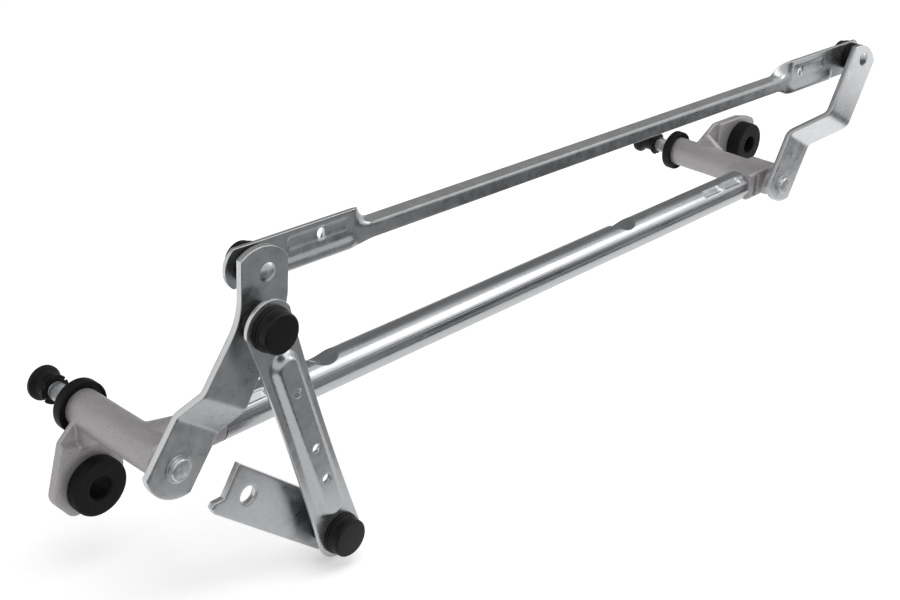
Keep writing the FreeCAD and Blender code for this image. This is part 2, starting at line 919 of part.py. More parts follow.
def make_ear(side):
    """The cast ear plate: rounded corners, the grommet's hole and a pad round the grommet."""
    body = new_body(f"{side}_ear")
    corners, across, up = ear_outline(side)
    front = own(side, "ear_front")
    back = front + S.ear_thickness
    sketch = new_sketch(body, "XZ_Plane", back)
    draw_outline(sketch, [corner[:2] for corner in corners])
    pad(body, sketch, S.ear_thickness)
    for *place, radius in corners:
        if radius is not None:
            fillet_edges(body, radius, corner_test(Y_AXIS, "x", "z", place))
    hole = new_sketch(body, "XZ_Plane", back)
    draw_circle(hole, across, up, S.grommet_neck_radius + S.snap_clearance)
    pocket(body, hole, S.ear_thickness)
    step = new_sketch(body, "XZ_Plane", front)
    draw_outline(step, step_outline(side))
    pocket(body, step, S.ear_step, towards="back")
    return put(body, station(side))


def make_ear_rib(side):
    """The gusset between the bearing tube and the ear's front face."""
    body = new_body(f"{side}_ear_rib")
    away = -1 if side == "left" else 1
    edge = S.bearing_tube_radius - S.ear_rib_inset
    start = -edge if side == "left" else edge - S.ear_rib_thickness
    sketch = new_sketch(body, "YZ_Plane", start)
    foot = S.bearing_tube_radius * away / 2
    tall = (S.bearing_tube_radius + S.ear_rib_height) * away
    face = own(side, "ear_front") + S.ear_step
    root = face + S.cut_margin
    crest = face - S.ear_rib_land
    draw_outline(sketch, [(face - S.ear_rib_run, foot), (root, foot), (root, tall), (crest, tall)])
    pad(body, sketch, S.ear_rib_thickness)
    return put(body, station(side))


def make_bearing_tube(side):
    """The cast tube round the spindle, before it is bored."""
    start = bearing_face()
    bevel = S.casting_bevel
    end = own(side, "bearing_tube_end")
    nose = start + S.bearing_nose_length
    neck = S.bearing_tube_radius - S.bearing_nose_step
    points = [
        (ZERO, start),
        (neck, start),
        (neck, nose),
        (S.bearing_tube_radius, nose + S.bearing_nose_step),
        (S.bearing_tube_radius, end - bevel),
        (S.bearing_tube_radius - bevel, end),
        (ZERO, end),
    ]
    return put(turned(f"{side}_bearing_tube", points), station(side))


def make_bore(side):
    """The bore: a seat for each bush and a wider relief between them."""
    seat = S.spindle_radius + S.running_fit + S.bush_wall
    relief = seat - S.bearing_relief
    first = bearing_face() + S.bush_set_in + S.bush_length
    end = own(side, "bearing_tube_end")
    second = end - S.bush_set_in - S.bush_length
    front = bearing_face() - S.cut_margin
    back = end + S.cut_margin
    points = [
        (ZERO, front),
        (seat, front),
        (seat, first),
        (relief, first),
        (relief, second),
        (seat, second),
        (seat, back),
        (ZERO, back),
    ]
    return put(turned(f"{side}_bore", points), station(side))


def make_left_arm():
    """The arm that flares out of the left bearing tube into a round boss at the cross tube."""
    body = new_body("left_arm")
    root = new_sketch(body, "YZ_Plane")
    spread = S.arm_root_spread
    boss = S.cross_tube_radius
    draw_oval(root, S.arm_root_shift, spread, S.bearing_tube_radius)
    boss_start = S.arm_reach * S.arm_flare_share
    middle = new_sketch(body, "YZ_Plane", boss_start)
    draw_oval(middle, ZERO, boss, boss)
    loft(body, [root, middle])
    end = new_sketch(body, "YZ_Plane", boss_start)
    draw_oval(end, ZERO, boss, boss)
    pad(body, end, S.arm_reach - boss_start)
    body.Placement = tube_frame()
    return body


def draw_oval(sketch, centre, half_width, half_height):
    """An oval of four arcs, or a circle where the two halves are alike."""
    big = arc_radius(half_width, half_height)
    points = [(centre + half_width, ZERO), (centre, half_height),
              (centre - half_width, ZERO), (centre, -half_height)]
    draw_outline(sketch, points, {index: big for index in range(4)})


def make_right_block():
    """The square block that the cross tube's right end runs into, with a cored pocket."""
    body = new_body("right_block")
    start = -S.block_reach
    sketch = new_sketch(body, "YZ_Plane", start)
    half_length = S.block_length / 2
    half_height = S.block_height / 2
    draw_outline(sketch, [(-half_length, -half_height), (half_length, -half_height),
                          (half_length, half_height), (-half_length, half_height)])
    pad(body, sketch, S.block_reach + S.block_far_side)
    fillet_edges(body, S.block_corner, lambda edge: edge_along(edge, X_AXIS))
    core = new_sketch(body, "XZ_Plane", -half_length)
    left = start + S.core_inset
    right = left + S.core_width
    top = half_height - S.core_margin
    draw_outline(core, [(left, -top), (right, -top), (right, top), (left, top)])
    pocket(body, core, S.block_core_depth, towards="back")
    body.Placement = FreeCAD.Placement(station("right") + vector(ZERO, S.arm_offset, S.block_rise),
                                       FreeCAD.Rotation(Z_AXIS, tube_turn()))
    return body


def make_housing(side):
    """A die-cast housing: bearing tube, ear with its gusset, arm or block, and spigot."""
    branch = make_left_arm() if side == "left" else make_right_block()
    solid = boolean("Fuse", f"{side}_casting", make_bearing_tube(side), make_ear(side),
                    make_ear_rib(side), branch, make_spigot(side))
    boolean("Cut", f"{side}_housing", solid, make_bore(side))


def grommet_place(side):
    """The grommet's front face centre."""
    across, up = grommet_offset(side)
    return station(side) + vector(across, S.station_to_grommet_face, up)


def make_grommet(side):
    """The rubber grommet: a thick front boss, a neck in the ear's hole and a back flange."""
    ear = own(side, "ear_front") - S.station_to_grommet_face
    back = ear + S.ear_thickness
    end = back + S.grommet_back_length
    points = [
        (S.grommet_bore_radius, ZERO),
        (S.grommet_radius - S.grommet_bevel, ZERO),
        (S.grommet_radius, S.grommet_bevel),
        (S.grommet_radius, ear),
        (S.grommet_neck_radius, ear),
        (S.grommet_neck_radius, back),
        (S.grommet_back_radius, back),
        (S.grommet_back_radius, end - S.grommet_bevel),
        (S.grommet_back_radius - S.grommet_bevel, end),
        (S.grommet_bore_radius, end),
    ]
    put(turned(f"{side}_grommet", points), grommet_place(side))


# Cranks and ball joints

def joggled_strip(name, width, step, low, high, foot, head):
    """A flat strip with a Z bend. It runs up, steps forward by step, and runs on."""
    body = new_body(name)
    sketch = new_sketch(body, "YZ_Plane", -width / 2)
    thick = S.crank_thickness
    shift = bend_shift(step, high - low, thick)
    points = [(ZERO, -foot), (thick, -foot), (thick, low + shift), (thick - step, high + shift),
              (thick - step, head), (-step, head), (-step, high), (ZERO, low)]
    draw_outline(sketch, points)
    pad(body, sketch, width)
    for index in (3, 7):
        fillet_edges(body, S.bend_radius, corner_test(X_AXIS, "y", "z", points[index]))
    for index in (2, 6):
        outer = S.bend_radius + thick
        fillet_edges(body, outer, corner_test(X_AXIS, "y", "z", points[index]))
    return body


def crank_outline(side, points, arcs, rounds, holes):
    """A crank's outline seen along the spindle, as a thick plate that is cut with the strip."""
    body = new_body(f"{side}_crank_outline")
    back = S.crank_thickness + S.cut_margin
    depth = back + crank_step(side) + S.cut_margin
    sketch = new_sketch(body, "XZ_Plane", back)
    draw_outline(sketch, points, arcs)
    pad(body, sketch, depth)
    for index, radius in rounds.items():
        fillet_edges(body, radius, corner_test(Y_AXIS, "x", "z", points[index]))
    drill = new_sketch(body, "XZ_Plane", back)
    for across, up, radius in holes:
        draw_circle(drill, across, up, radius)
    pocket(body, drill, depth)
    return body


def make_left_crank():
    """The left crank: a leaning foot, a Z bend and an upright head with two ball studs."""
    lean = S.left_strip_lean
    ball_across = sine(S.rest_lean) * S.crank_radius
    ball_up = cosine(S.rest_lean) * S.crank_radius
    left = ball_across - S.left_head_side
    right = ball_across + S.right_head_side

    def on_strip(offset, place):
        """A point beside the leaning strip's middle line."""
        return (cosine(lean) * offset + sine(lean) * place,
                cosine(lean) * place - sine(lean) * offset)

    elbow = (left + cosine(lean) * S.left_elbow_side) / sine(lean)
    points = [
        on_strip(-S.left_foot_side, -S.left_foot_corner),
        on_strip(S.left_crank_side, -S.left_foot_corner),
        on_strip(S.left_crank_side, S.knee_place),
        (right, ball_up - S.knee_drop),
        (right, ball_up + S.right_head_corner),
        (left, ball_up + S.left_head_corner),
        on_strip(-S.left_elbow_side, elbow),
    ]
    drive_across, drive_up = drive_ball_place()
    holes = [(ZERO, ZERO, S.spindle_neck_radius), (ball_across, ball_up, S.stud_radius),
             (drive_across, drive_up, S.stud_radius)]
    outline = crank_outline("left", points, {0: S.left_foot_arc, 4: S.left_head_arc},
                            {3: S.left_knee_arc, 6: S.left_elbow_arc}, holes)
    strip = joggled_strip("left_crank_strip", S.crank_radius * 2, S.left_crank_step,
                          S.left_bend_low, S.left_bend_high, S.left_crank_foot * 2, S.crank_radius * 2)
    strip.Placement = FreeCAD.Placement(FreeCAD.Vector(), FreeCAD.Rotation(Y_AXIS, lean.number))
    crank = boolean("Common", "left_crank", strip, outline)
    crank.Placement = FreeCAD.Placement(station("left"), FreeCAD.Rotation())


def make_right_crank():
    """The right crank: a straight strip with a deep Z bend, turned to the rest lean."""
    half = S.right_crank_width / 2
    foot = S.right_crank_foot
    top = S.crank_radius + S.far_crank_head
    shoulder = S.crank_radius + S.far_head_corner
    low = -S.right_foot_corner
    points = [(-half, low), (half, low), (half, shoulder), (-half, shoulder)]
    arcs = {0: arc_radius(half, foot - S.right_foot_corner), 2: arc_radius(half, top - shoulder)}
    holes = [(ZERO, ZERO, S.spindle_neck_radius), (ZERO, S.crank_radius, S.stud_radius)]
    outline = crank_outline("right", points, arcs, {}, holes)
    strip = joggled_strip("right_crank_strip", S.crank_radius * 2, crank_step("right"),
                          S.right_bend_low, S.right_bend_high, foot * 2, top * 2)
    crank = boolean("Common", "right_crank", strip, outline)
    crank.Placement = FreeCAD.Placement(station("right"), FreeCAD.Rotation(Y_AXIS, S.rest_lean.number))


def make_ball_stud(name, plate, place, rotation=FreeCAD.Rotation()):
    """A riveted ball stud. Its frame is at the plate's face, with +Y towards the ball."""
    head = -plate - S.stud_head_height
    collar = S.stud_collar_height
    reach = square_root(S.ball_radius * S.ball_radius - S.ball_neck_radius * S.ball_neck_radius)
    dome = (S.stud_head_radius * S.stud_head_radius + S.stud_head_height * S.stud_head_height)
    dome = dome / (S.stud_head_height * 2)
    points = [
        (ZERO, head),
        (S.stud_head_radius, -plate),
        (S.stud_radius, -plate),
        (S.stud_radius, ZERO),
        (S.stud_collar_radius, ZERO),
        (S.stud_collar_radius, collar),
        (S.ball_neck_radius, collar + S.ball_neck_slope),
        (S.ball_neck_radius, S.ball_height - reach),
        (S.ball_radius, S.ball_height),
        (ZERO, S.ball_height + S.ball_radius),
    ]
    body = turned(name, points, {0: dome, 7: S.ball_radius, 8: S.ball_radius})
    return put(body, place, rotation)


def crown_height(kind):
    """How high a socket's crown stands inside its cap."""
    return own(kind, "cap_height") - S.socket_cap_roof - S.running_fit


def make_socket(kind, name, place, rotation=FreeCAD.Rotation()):
    """A plastic socket snapped through a link of this kind. Its frame is the ball stud's frame."""
    cavity = S.ball_radius + S.ball_clearance
    reach = square_root(cavity * cavity - S.socket_lip_radius * S.socket_lip_radius)
    bottom = S.stud_collar_height + S.free_clearance
    sheet_back = S.link_standoff + S.link_sheet
    flange_radius = own(kind, "flange_radius")
    flange = sheet_back + own(kind, "flange_height")
    crown = flange + crown_height(kind)
    points = [
        (S.socket_mouth_radius, bottom),
        (S.socket_radius, bottom),
        (S.socket_radius, S.link_standoff),
        (S.socket_radius - S.socket_groove, S.link_standoff),
        (S.socket_radius - S.socket_groove, sheet_back),
        (flange_radius, sheet_back),
        (flange_radius, flange - S.socket_bevel),
        (flange_radius - S.socket_bevel, flange),
        (S.socket_crown_radius, flange),
        (S.socket_crown_radius, crown),
        (ZERO, crown),
        (ZERO, S.ball_height + cavity),
        (cavity, S.ball_height),
        (S.socket_lip_radius, S.ball_height - reach),
    ]
    put(turned(name, points, {11: -cavity, 12: -cavity}), place, rotation)


def make_socket_cap(kind, name, place, rotation=FreeCAD.Rotation()):
    """The round dust cap over a socket's crown."""
    base = S.link_standoff + S.link_sheet + own(kind, "flange_height")
    top = base + own(kind, "cap_height")
    radius = own(kind, "cap_radius")
    inner = S.socket_crown_radius + S.running_fit
    ceiling = top - S.socket_cap_roof
    bevel = S.socket_cap_bevel
    points = [
        (inner, base),
        (radius, base),
        (radius, base + S.socket_cap_skirt),
        (radius - S.socket_cap_notch, base + S.socket_cap_skirt + S.socket_cap_notch),
        (radius - S.socket_cap_notch, top - bevel),
        (radius - S.socket_cap_notch - bevel, top),
        (ZERO, top),
        (ZERO, ceiling),
        (inner, ceiling),
    ]
    put(turned(name, points), place, rotation)


def make_link_joints():
    """The long link's two ball joints."""
    for side in ("left", "right"):
        face = link_ball(side) - vector(ZERO, S.ball_height, ZERO)
        make_ball_stud(f"{side}_link_ball_stud", S.crank_thickness, face)
        make_socket("link", f"{side}_link_socket", face)
        make_socket_cap("link", f"{side}_link_socket_cap", face)


def make_drive_joints():
    """The drive link's two ball joints, which face forward."""
    about = FreeCAD.Rotation(Z_AXIS, 180)
    upper = drive_ball_place()
    lower = lower_ball_place()
    front = -S.left_crank_step
    upper_face = station("left") + vector(upper[0], front, upper[1])
    lower_face = station("left") + vector(lower[0], front, lower[1])
    make_ball_stud("drive_ball_stud", S.crank_thickness, upper_face, about)
    make_ball_stud("motor_ball_stud", S.motor_crank_thickness, lower_face, about)
    for name, face in (("upper", upper_face), ("lower", lower_face)):
        make_socket("drive", f"{name}_drive_socket", face, about)
        make_socket_cap("drive", f"{name}_drive_socket_cap", face, about)


# Links and motor crank

def socket_hole():
    """The hole in a link that a socket's groove snaps into."""
    return S.socket_radius - S.socket_groove + S.running_fit


def link_profile(sketch, low, fold, outer_end, inner_end, inner_corner):
    """One section of the long link: lower edge, fold and flange end, front and back."""
    front = S.link_standoff
    back = front + S.link_sheet
    points = [(front, low), (back, low), (back, inner_corner), inner_end, outer_end, (front, fold)]
    draw_outline(sketch, points)


def flat_section(body, level, fall):
    """The long link's section where it is a flat paddle."""
    sketch = new_sketch(body, "YZ_Plane", level)
    front = S.link_standoff
    back = front + S.link_sheet
    top = S.paddle_rise
    link_profile(sketch, -fall, ZERO, (front, top), (back, top), ZERO)
    return sketch


def angle_section(body, level):
    """The long link's section along its rod: an upright web with a flange folded back at its top."""
    sketch = new_sketch(body, "YZ_Plane", level)
    rise = S.rod_flange_rise
    fold = -S.rod_drop
    front = S.link_standoff
    sheet = S.link_sheet
    outer_end = (front + cosine(rise) * S.rod_flange, fold + sine(rise) * S.rod_flange)
    inner_end = (outer_end[0] + sine(rise) * sheet, outer_end[1] - cosine(rise) * sheet)
    inner_corner = fold + (sine(rise) - 1.0) / cosine(rise) * sheet
    link_profile(sketch, fold - S.rod_web, fold, outer_end, inner_end, inner_corner)
    return sketch


def make_paddle(body, flat_end, ball, fall, away):
    """A flat end of the long link, with an arc round its ball. Away is the way it faces, -1 or 1."""
    half = (S.paddle_rise + fall) / 2
    corner = ball + (S.paddle_overhang - arc_rise(S.paddle_end_arc, half)) * away
    sketch = new_sketch(body, "XZ_Plane", S.link_standoff + S.link_sheet)
    left, right = (corner, flat_end) if away < 0 else (flat_end, corner)
    points = [(left, -fall), (right, -fall), (right, S.paddle_rise), (left, S.paddle_rise)]
    draw_outline(sketch, points, {3 if away < 0 else 1: S.paddle_end_arc})
    pad(body, sketch, S.link_sheet)


def press_panel(body, start, end, rise):
    """The shallow panel pressed into a paddle's front, above its lip."""
    sketch = new_sketch(body, "XZ_Plane", S.link_standoff + S.panel_depth)
    low = rise - S.panel_height / 2
    high = rise + S.panel_height / 2
    points = [(start, low), (end, low), (end, high), (start, high)]
    draw_outline(sketch, points)
    pocket(body, sketch, S.panel_depth + S.cut_margin)


def press_lip(body, start, end, fall):
    """The raised lip along a paddle's lower edge."""
    sketch = new_sketch(body, "YZ_Plane", start)
    front = S.link_standoff
    inside = front + S.link_sheet / 2
    low = -fall
    high = low + S.lip_height
    crest = (front - S.lip_depth, low + S.lip_crest)
    draw_outline(sketch, [(inside, low), (front, low), crest, (front, high), (inside, high)])
    pad(body, sketch, end - start)


def make_long_link():
    """The long link: flat paddles at both balls and a folded rod between them."""
    body = new_body("long_link")
    span = S.spindle_spacing
    near_end = S.near_paddle_length
    far_start = span - S.far_paddle_length
    near_fall = S.near_paddle_fall
    far_fall = S.far_paddle_fall
    make_paddle(body, near_end, ZERO, near_fall, -1)
    rod_start = near_end + S.paddle_taper
    rod_end = far_start - S.paddle_taper
    loft(body, [flat_section(body, near_end, near_fall), angle_section(body, rod_start)])
    pad(body, angle_section(body, rod_start), rod_end - rod_start)
    loft(body, [angle_section(body, rod_end), flat_section(body, far_start, far_fall)])
    make_paddle(body, far_start, span, far_fall, 1)
    press_panel(body, S.near_panel_margin, near_end - S.panel_end_gap, S.near_panel_rise)
    press_panel(body, far_start + S.panel_end_gap, span - S.far_panel_margin, S.far_panel_rise)
    press_lip(body, S.lip_margin, near_end, near_fall)
    press_lip(body, far_start, span - S.far_lip_margin, far_fall)
    holes = new_sketch(body, "XZ_Plane", S.link_standoff + S.link_sheet)
    draw_circle(holes, ZERO, ZERO, socket_hole())
    draw_circle(holes, span, ZERO, socket_hole())
    draw_circle(holes, S.near_link_hole, S.near_hole_rise, S.link_hole_radius)
    draw_circle(holes, span - S.far_link_hole, S.far_hole_rise, S.link_hole_radius)
    pocket(body, holes, S.link_sheet + S.cut_margin)
    put(body, link_ball("left") - vector(ZERO, S.ball_height, ZERO))


def make_drive_link():
    """The drive link: a flat stadium plate with a pressed hat rib and three holes."""
    body = new_body("drive_link")
    back = -S.link_standoff
    plate = new_sketch(body, "XZ_Plane", back)
    half = S.drive_link_width / 2
    end = S.drive_link_end
    top = square_root(end * end - half * half)
    low = -S.drive_link_length - top
    waist = -arc_radius((top - low) / 2, S.drive_link_waist)
    draw_outline(plate, [(-half, low), (half, low), (half, top), (-half, top)],
                 {0: end, 1: waist, 2: end, 3: waist})
    pad(body, plate, S.link_sheet)
    rib_top = -S.rib_inset - S.rib_base_width / 2
    rib_low = S.rib_inset + S.rib_base_width / 2 - S.drive_link_length
    front = back - S.link_sheet
    base = new_sketch(body, "XZ_Plane", front)
    draw_slot(base, rib_top, rib_low, S.rib_base_width / 2)
    crest = new_sketch(body, "XZ_Plane", front - S.rib_height)
    draw_slot(crest, rib_top, rib_low, S.rib_top_width / 2)
    loft(body, [base, crest])
    hollow_base = new_sketch(body, "XZ_Plane", back)
    draw_slot(hollow_base, rib_top, rib_low, S.rib_base_width / 2)
    hollow_crest = new_sketch(body, "XZ_Plane", back - S.rib_height)
    draw_slot(hollow_crest, rib_top, rib_low, S.rib_top_width / 2)
    loft(body, [hollow_base, hollow_crest], subtract=True)
    holes = new_sketch(body, "XZ_Plane", back)
    draw_circle(holes, ZERO, ZERO, socket_hole())
    draw_circle(holes, ZERO, -S.drive_link_length, socket_hole())
    for place in (S.drive_hole_upper, S.drive_hole_middle, S.drive_hole_lower):
        draw_circle(holes, ZERO, -place, S.drive_hole_radius)
    pocket(body, holes, S.link_sheet + S.rib_height + S.cut_margin)
    across, up = drive_ball_place()
    place = station("left") + vector(across, -S.left_crank_step, up)
    put(body, place, FreeCAD.Rotation(Y_AXIS, -S.drive_link_lean.number))


def make_motor_crank():
    """The motor crank: a flat bar with a shaft hole, a stop nose and a ball stud."""
    body = new_body("motor_crank")
    top = S.motor_crank_rise
    low = -S.motor_crank_fall
    start = -S.motor_crank_tail
    end = S.motor_crank_radius + S.motor_crank_head
    sketch = new_sketch(body, "XZ_Plane", S.motor_crank_thickness)
    nose = start - S.motor_nose_length
    points = [
        (start, top),
        (start + S.motor_tail_slant, low + S.motor_nose_root),
        (nose, low + S.motor_nose_height),
        (nose, low + S.motor_nose_slope),
        (nose + S.motor_nose_run, low),
        (end, low),
        (end, top),
    ]
    draw_outline(sketch, points)
    pad(body, sketch, S.motor_crank_thickness)
    for index in (5, 6):
        fillet_edges(body, S.motor_crank_corner, corner_test(Y_AXIS, "x", "z", points[index]))
    holes = new_sketch(body, "XZ_Plane", S.motor_crank_thickness)
    draw_circle(holes, ZERO, ZERO, S.motor_hole_radius)
    draw_circle(holes, S.motor_crank_radius, ZERO, S.stud_radius)
    pocket(body, holes, S.motor_crank_thickness)
    across, up = lower_ball_place()
    fall = S.motor_crank_lean
    place = vector(across - cosine(fall) * S.motor_crank_radius, -S.left_crank_step,
                   up + sine(fall) * S.motor_crank_radius)
    put(body, station("left") + place, FreeCAD.Rotation(Y_AXIS, fall.number))


PIECES = [
    "left_housing", "right_housing", "cross_tube", "left_grommet", "right_grommet",
    "left_seal_collar", "right_seal_collar", "left_front_bush", "left_rear_bush",
    "right_front_bush", "right_rear_bush", "left_spindle", "right_spindle",
    "left_thrust_washer", "right_thrust_washer", "left_end_washer", "right_end_washer",
    "left_circlip", "right_circlip", "left_spindle_cap", "right_spindle_cap", "left_crank",
    "right_crank", "left_link_ball_stud", "right_link_ball_stud", "left_link_socket",
    "right_link_socket", "left_link_socket_cap", "right_link_socket_cap", "long_link",
    "drive_ball_stud", "motor_ball_stud", "upper_drive_socket", "lower_drive_socket",
    "upper_drive_socket_cap", "lower_drive_socket_cap", "drive_link", "motor_crank",
]


def build():
    fill_sheet()
    for side in ("left", "right"):
        make_spindle(side)
        make_bearings(side)
        make_seal_collar(side)
        make_spindle_cap(side)
        make_grommet(side)
        make_housing(side)
    make_cross_tube()
    make_left_crank()
    make_right_crank()
    make_link_joints()
    make_drive_joints()
    make_long_link()
    make_drive_link()
    make_motor_crank()
    doc.recompute()


def check_and_write():
    """Stops on any failed object, then writes one file for each piece."""
    for item in doc.Objects:
        if {"Invalid", "Error"} & set(item.State):
            raise RuntimeError(f"{item.Label} failed: {item.State}")
    pieces = {name: doc.getObjectsByLabel(name)[0] for name in PIECES}
    for name, piece in pieces.items():
        if piece.Shape.isNull() or not piece.Shape.isValid():
            raise RuntimeError(f"{name} has no valid shape")
    os.makedirs("parts", exist_ok=True)
    for name, piece in pieces.items():
        piece.Shape.exportStep(f"parts/{name}.step")
        print(f"{name}: {len(piece.Shape.Solids)} solid, {piece.Shape.Volume / 1000:.2f} cm3")


build()
check_and_write()
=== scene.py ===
"""Looks of a windscreen wiper linkage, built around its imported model.

Lengths in the classes are millimetres. Places come from the model's own joints, mounts and boxes,
and the outlines and profiles of most pieces are read from the model's nodes.
"""
import json
import logging
import math
from dataclasses import dataclass
from enum import Enum
from typing import Sequence

import bmesh
import bpy
import numpy as np
from mathutils import Matrix, Vector
from mathutils.geometry import delaunay_2d_cdt

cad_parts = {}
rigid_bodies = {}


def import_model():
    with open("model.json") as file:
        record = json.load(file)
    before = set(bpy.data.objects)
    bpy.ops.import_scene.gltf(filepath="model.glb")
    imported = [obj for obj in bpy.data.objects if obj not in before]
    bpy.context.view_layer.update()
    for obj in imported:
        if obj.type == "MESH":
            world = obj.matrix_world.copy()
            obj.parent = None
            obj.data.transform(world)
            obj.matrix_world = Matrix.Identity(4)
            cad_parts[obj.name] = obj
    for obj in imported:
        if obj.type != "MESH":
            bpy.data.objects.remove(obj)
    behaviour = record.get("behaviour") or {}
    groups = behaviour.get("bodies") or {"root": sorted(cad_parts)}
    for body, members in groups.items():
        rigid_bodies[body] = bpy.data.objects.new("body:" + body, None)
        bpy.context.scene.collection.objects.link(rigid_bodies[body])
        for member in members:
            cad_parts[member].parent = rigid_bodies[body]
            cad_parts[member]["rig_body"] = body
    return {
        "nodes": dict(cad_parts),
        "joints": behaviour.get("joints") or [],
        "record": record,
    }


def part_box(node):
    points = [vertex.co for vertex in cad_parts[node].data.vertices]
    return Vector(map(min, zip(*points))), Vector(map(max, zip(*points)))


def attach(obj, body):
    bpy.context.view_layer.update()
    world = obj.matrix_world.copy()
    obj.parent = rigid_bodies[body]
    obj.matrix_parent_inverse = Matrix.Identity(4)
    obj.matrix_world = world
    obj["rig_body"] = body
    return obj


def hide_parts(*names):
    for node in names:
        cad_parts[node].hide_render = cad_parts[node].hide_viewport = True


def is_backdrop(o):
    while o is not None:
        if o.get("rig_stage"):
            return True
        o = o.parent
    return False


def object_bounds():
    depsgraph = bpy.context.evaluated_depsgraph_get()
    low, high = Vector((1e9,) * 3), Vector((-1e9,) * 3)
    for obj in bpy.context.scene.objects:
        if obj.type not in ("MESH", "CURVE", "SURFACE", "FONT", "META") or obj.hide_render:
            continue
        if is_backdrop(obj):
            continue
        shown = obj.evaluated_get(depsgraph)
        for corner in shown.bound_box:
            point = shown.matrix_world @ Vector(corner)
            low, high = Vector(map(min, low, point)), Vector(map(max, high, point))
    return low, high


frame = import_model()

MM = 0.001
# Distance in millimetres under which corners of the model are one
MERGE = 0.002
# Height in millimetres under which a triangle is a sliver along a straight border
SLIVER = 0.02
LOG = logging.getLogger("wiper_linkage")
Points = np.ndarray


# Places in the model

def millimetres(place: Sequence[float]) -> Points:
    """Turns a place in metres into an array in millimetres."""
    return np.array(place, float) / MM


def joint_place(name: str) -> Points:
    """Where a joint of the record turns."""
    return next(millimetres(joint["pos_m"]) for joint in frame["joints"] if joint["name"] == name)


def mount_place(name: str) -> Points:
    """Where a mount of the record lies."""
    mounts = frame["record"]["mounts"]
    return next(millimetres(mount["pos_m"]) for mount in mounts if mount["name"] == name)


def node_box(node: str) -> tuple[Points, Points]:
    """A node's lowest and highest corner."""
    low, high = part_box(node)
    return millimetres(low), millimetres(high)


def known_axes() -> list[Points]:
    """The axes along +Y that turned pieces lie on."""
    left = joint_place("left_spindle_turn")
    right = joint_place("right_spindle_turn")
    near_ball = joint_place("long_link_turn")
    far_ball = near_ball + (right - left) * (1, 0, 1)
    balls = [near_ball, far_ball, joint_place("drive_link_turn"), joint_place("motor_crank_turn")]
    return [left, right, *balls, mount_place("left_grommet_bore"), mount_place("right_grommet_bore")]


def axis_of(node: str) -> Points:
    """The known axis that a turned node lies on.

    Args:
        node: Name of the node.

    Returns:
        A point on the axis.
    """
    low, high = node_box(node)
    centre = (low + high) / 2
    return min(known_axes(), key=lambda axis: np.hypot(*(axis - centre)[[0, 2]]))


def smooth_step(share: Points) -> Points:
    """Rises smoothly from 0 to 1 while share does."""
    share = np.clip(share, 0.0, 1.0)
    return share * share * (3.0 - 2.0 * share)


# Reading the model's meshes

def merged_copy(node: str) -> bmesh.types.BMesh:
    """A copy of a node's mesh with its doubled corners merged."""
    copy = bmesh.new()
    copy.from_mesh(frame["nodes"][node].data)
    bmesh.ops.remove_doubles(copy, verts=copy.verts, dist=MERGE * MM)
    return copy


def without_straights(line: Points, closed: bool, least: float = 1.0) -> Points:
    """Drops the points of a line at which it turns by less than a number of degrees."""
    before = line - np.roll(line, 1, axis=0)
    after = np.roll(line, -1, axis=0) - line
    cross = before[:, 0] * after[:, 1] - before[:, 1] * after[:, 0]
    turn = np.degrees(np.abs(np.arctan2(cross, (before * after).sum(axis=1))))
    keep = turn > least
    if not closed:
        keep[0] = keep[-1] = True
    return line[keep]


def meridian(node: str, turn: float = 0.05) -> tuple[Points, bool]:
    """Reads a turned node's profile where a half plane through its axis cuts it.

    Args:
        node: Name of the node.
        turn: Angle of the half plane from +X towards +Z, in radians.

    Returns:
        Radius and Y of each corner in order, and whether the profile is closed in itself.
    """
    axis = axis_of(node)
    across = np.array((math.cos(turn), 0.0, math.sin(turn)))
    copy = merged_copy(node)
    cut = bmesh.ops.bisect_plane(copy, geom=copy.verts[:] + copy.edges[:] + copy.faces[:], dist=1e-8,
                                 plane_co=Vector(axis * MM), plane_no=(-across[2], 0.0, across[0]))
    neighbours: dict[tuple[float, float], set[tuple[float, float]]] = {}
    for edge in cut["geom_cut"]:
        if not isinstance(edge, bmesh.types.BMEdge):
            continue
        ends = [millimetres(vert.co) - axis * (1, 0, 1) for vert in edge.verts]
        flat = [np.array((end @ across, end[1])) for end in ends]
        flat.sort(key=lambda end: end[0])
        if flat[1][0] < 0.001:
            continue
        if flat[0][0] < 0.0:
            share = -flat[0][0] / (flat[1][0] - flat[0][0])
            flat[0] = flat[0] + (flat[1] - flat[0]) * share
        first, last = (tuple(np.round(end, 3) + 0.0) for end in flat)
        if first != last:
            neighbours.setdefault(first, set()).add(last)
            neighbours.setdefault(last, set()).add(first)
    copy.free()
    loose = sorted(point for point, others in neighbours.items() if len(others) == 1)
    line = [loose[0] if loose else min(neighbours)]
    seen = set(line)
    while True:
        onward = [point for point in sorted(neighbours[line[-1]]) if point not in seen]
        if not onward:
            break
        line.append(onward[0])
        seen.add(onward[0])
    closed = not loose
    return without_straights(np.array(line), closed), closed


def front_loops(node: str, least: float = 0.3) -> list[Points]:
    """Reads a sheet node's outline and holes, as seen from the front.

    Args:
        node: Name of the node.
        least: How much a face has to look forward, from 0 to 1, to be part of the front.

    Returns:
        The X and Z of each loop's corners, with the sheet to the left of the way round.
    """
    copy = merged_copy(node)
    onward = {}
    for face in copy.faces:
        if -face.normal.y < least:
            continue
        for loop in face.loops:
            others = [other for other in loop.edge.link_faces if other != face]
            if all(-other.normal.y < least for other in others):
                onward[loop.vert.index] = loop.link_loop_next.vert.index
    copy.verts.ensure_lookup_table()
    loops = []
    while onward:
        start, step = onward.popitem()
        line = [start]
        while step != start and step in onward:
            line.append(step)
            step = onward.pop(step)
        corners = np.array([millimetres(copy.verts[index].co)[[0, 2]] for index in line])
        loops.append(without_straights(corners, True, 0.3))
    copy.free()
    return sorted(loops, key=lambda loop: -np.ptp(loop, axis=0).max())


# Lines and loops

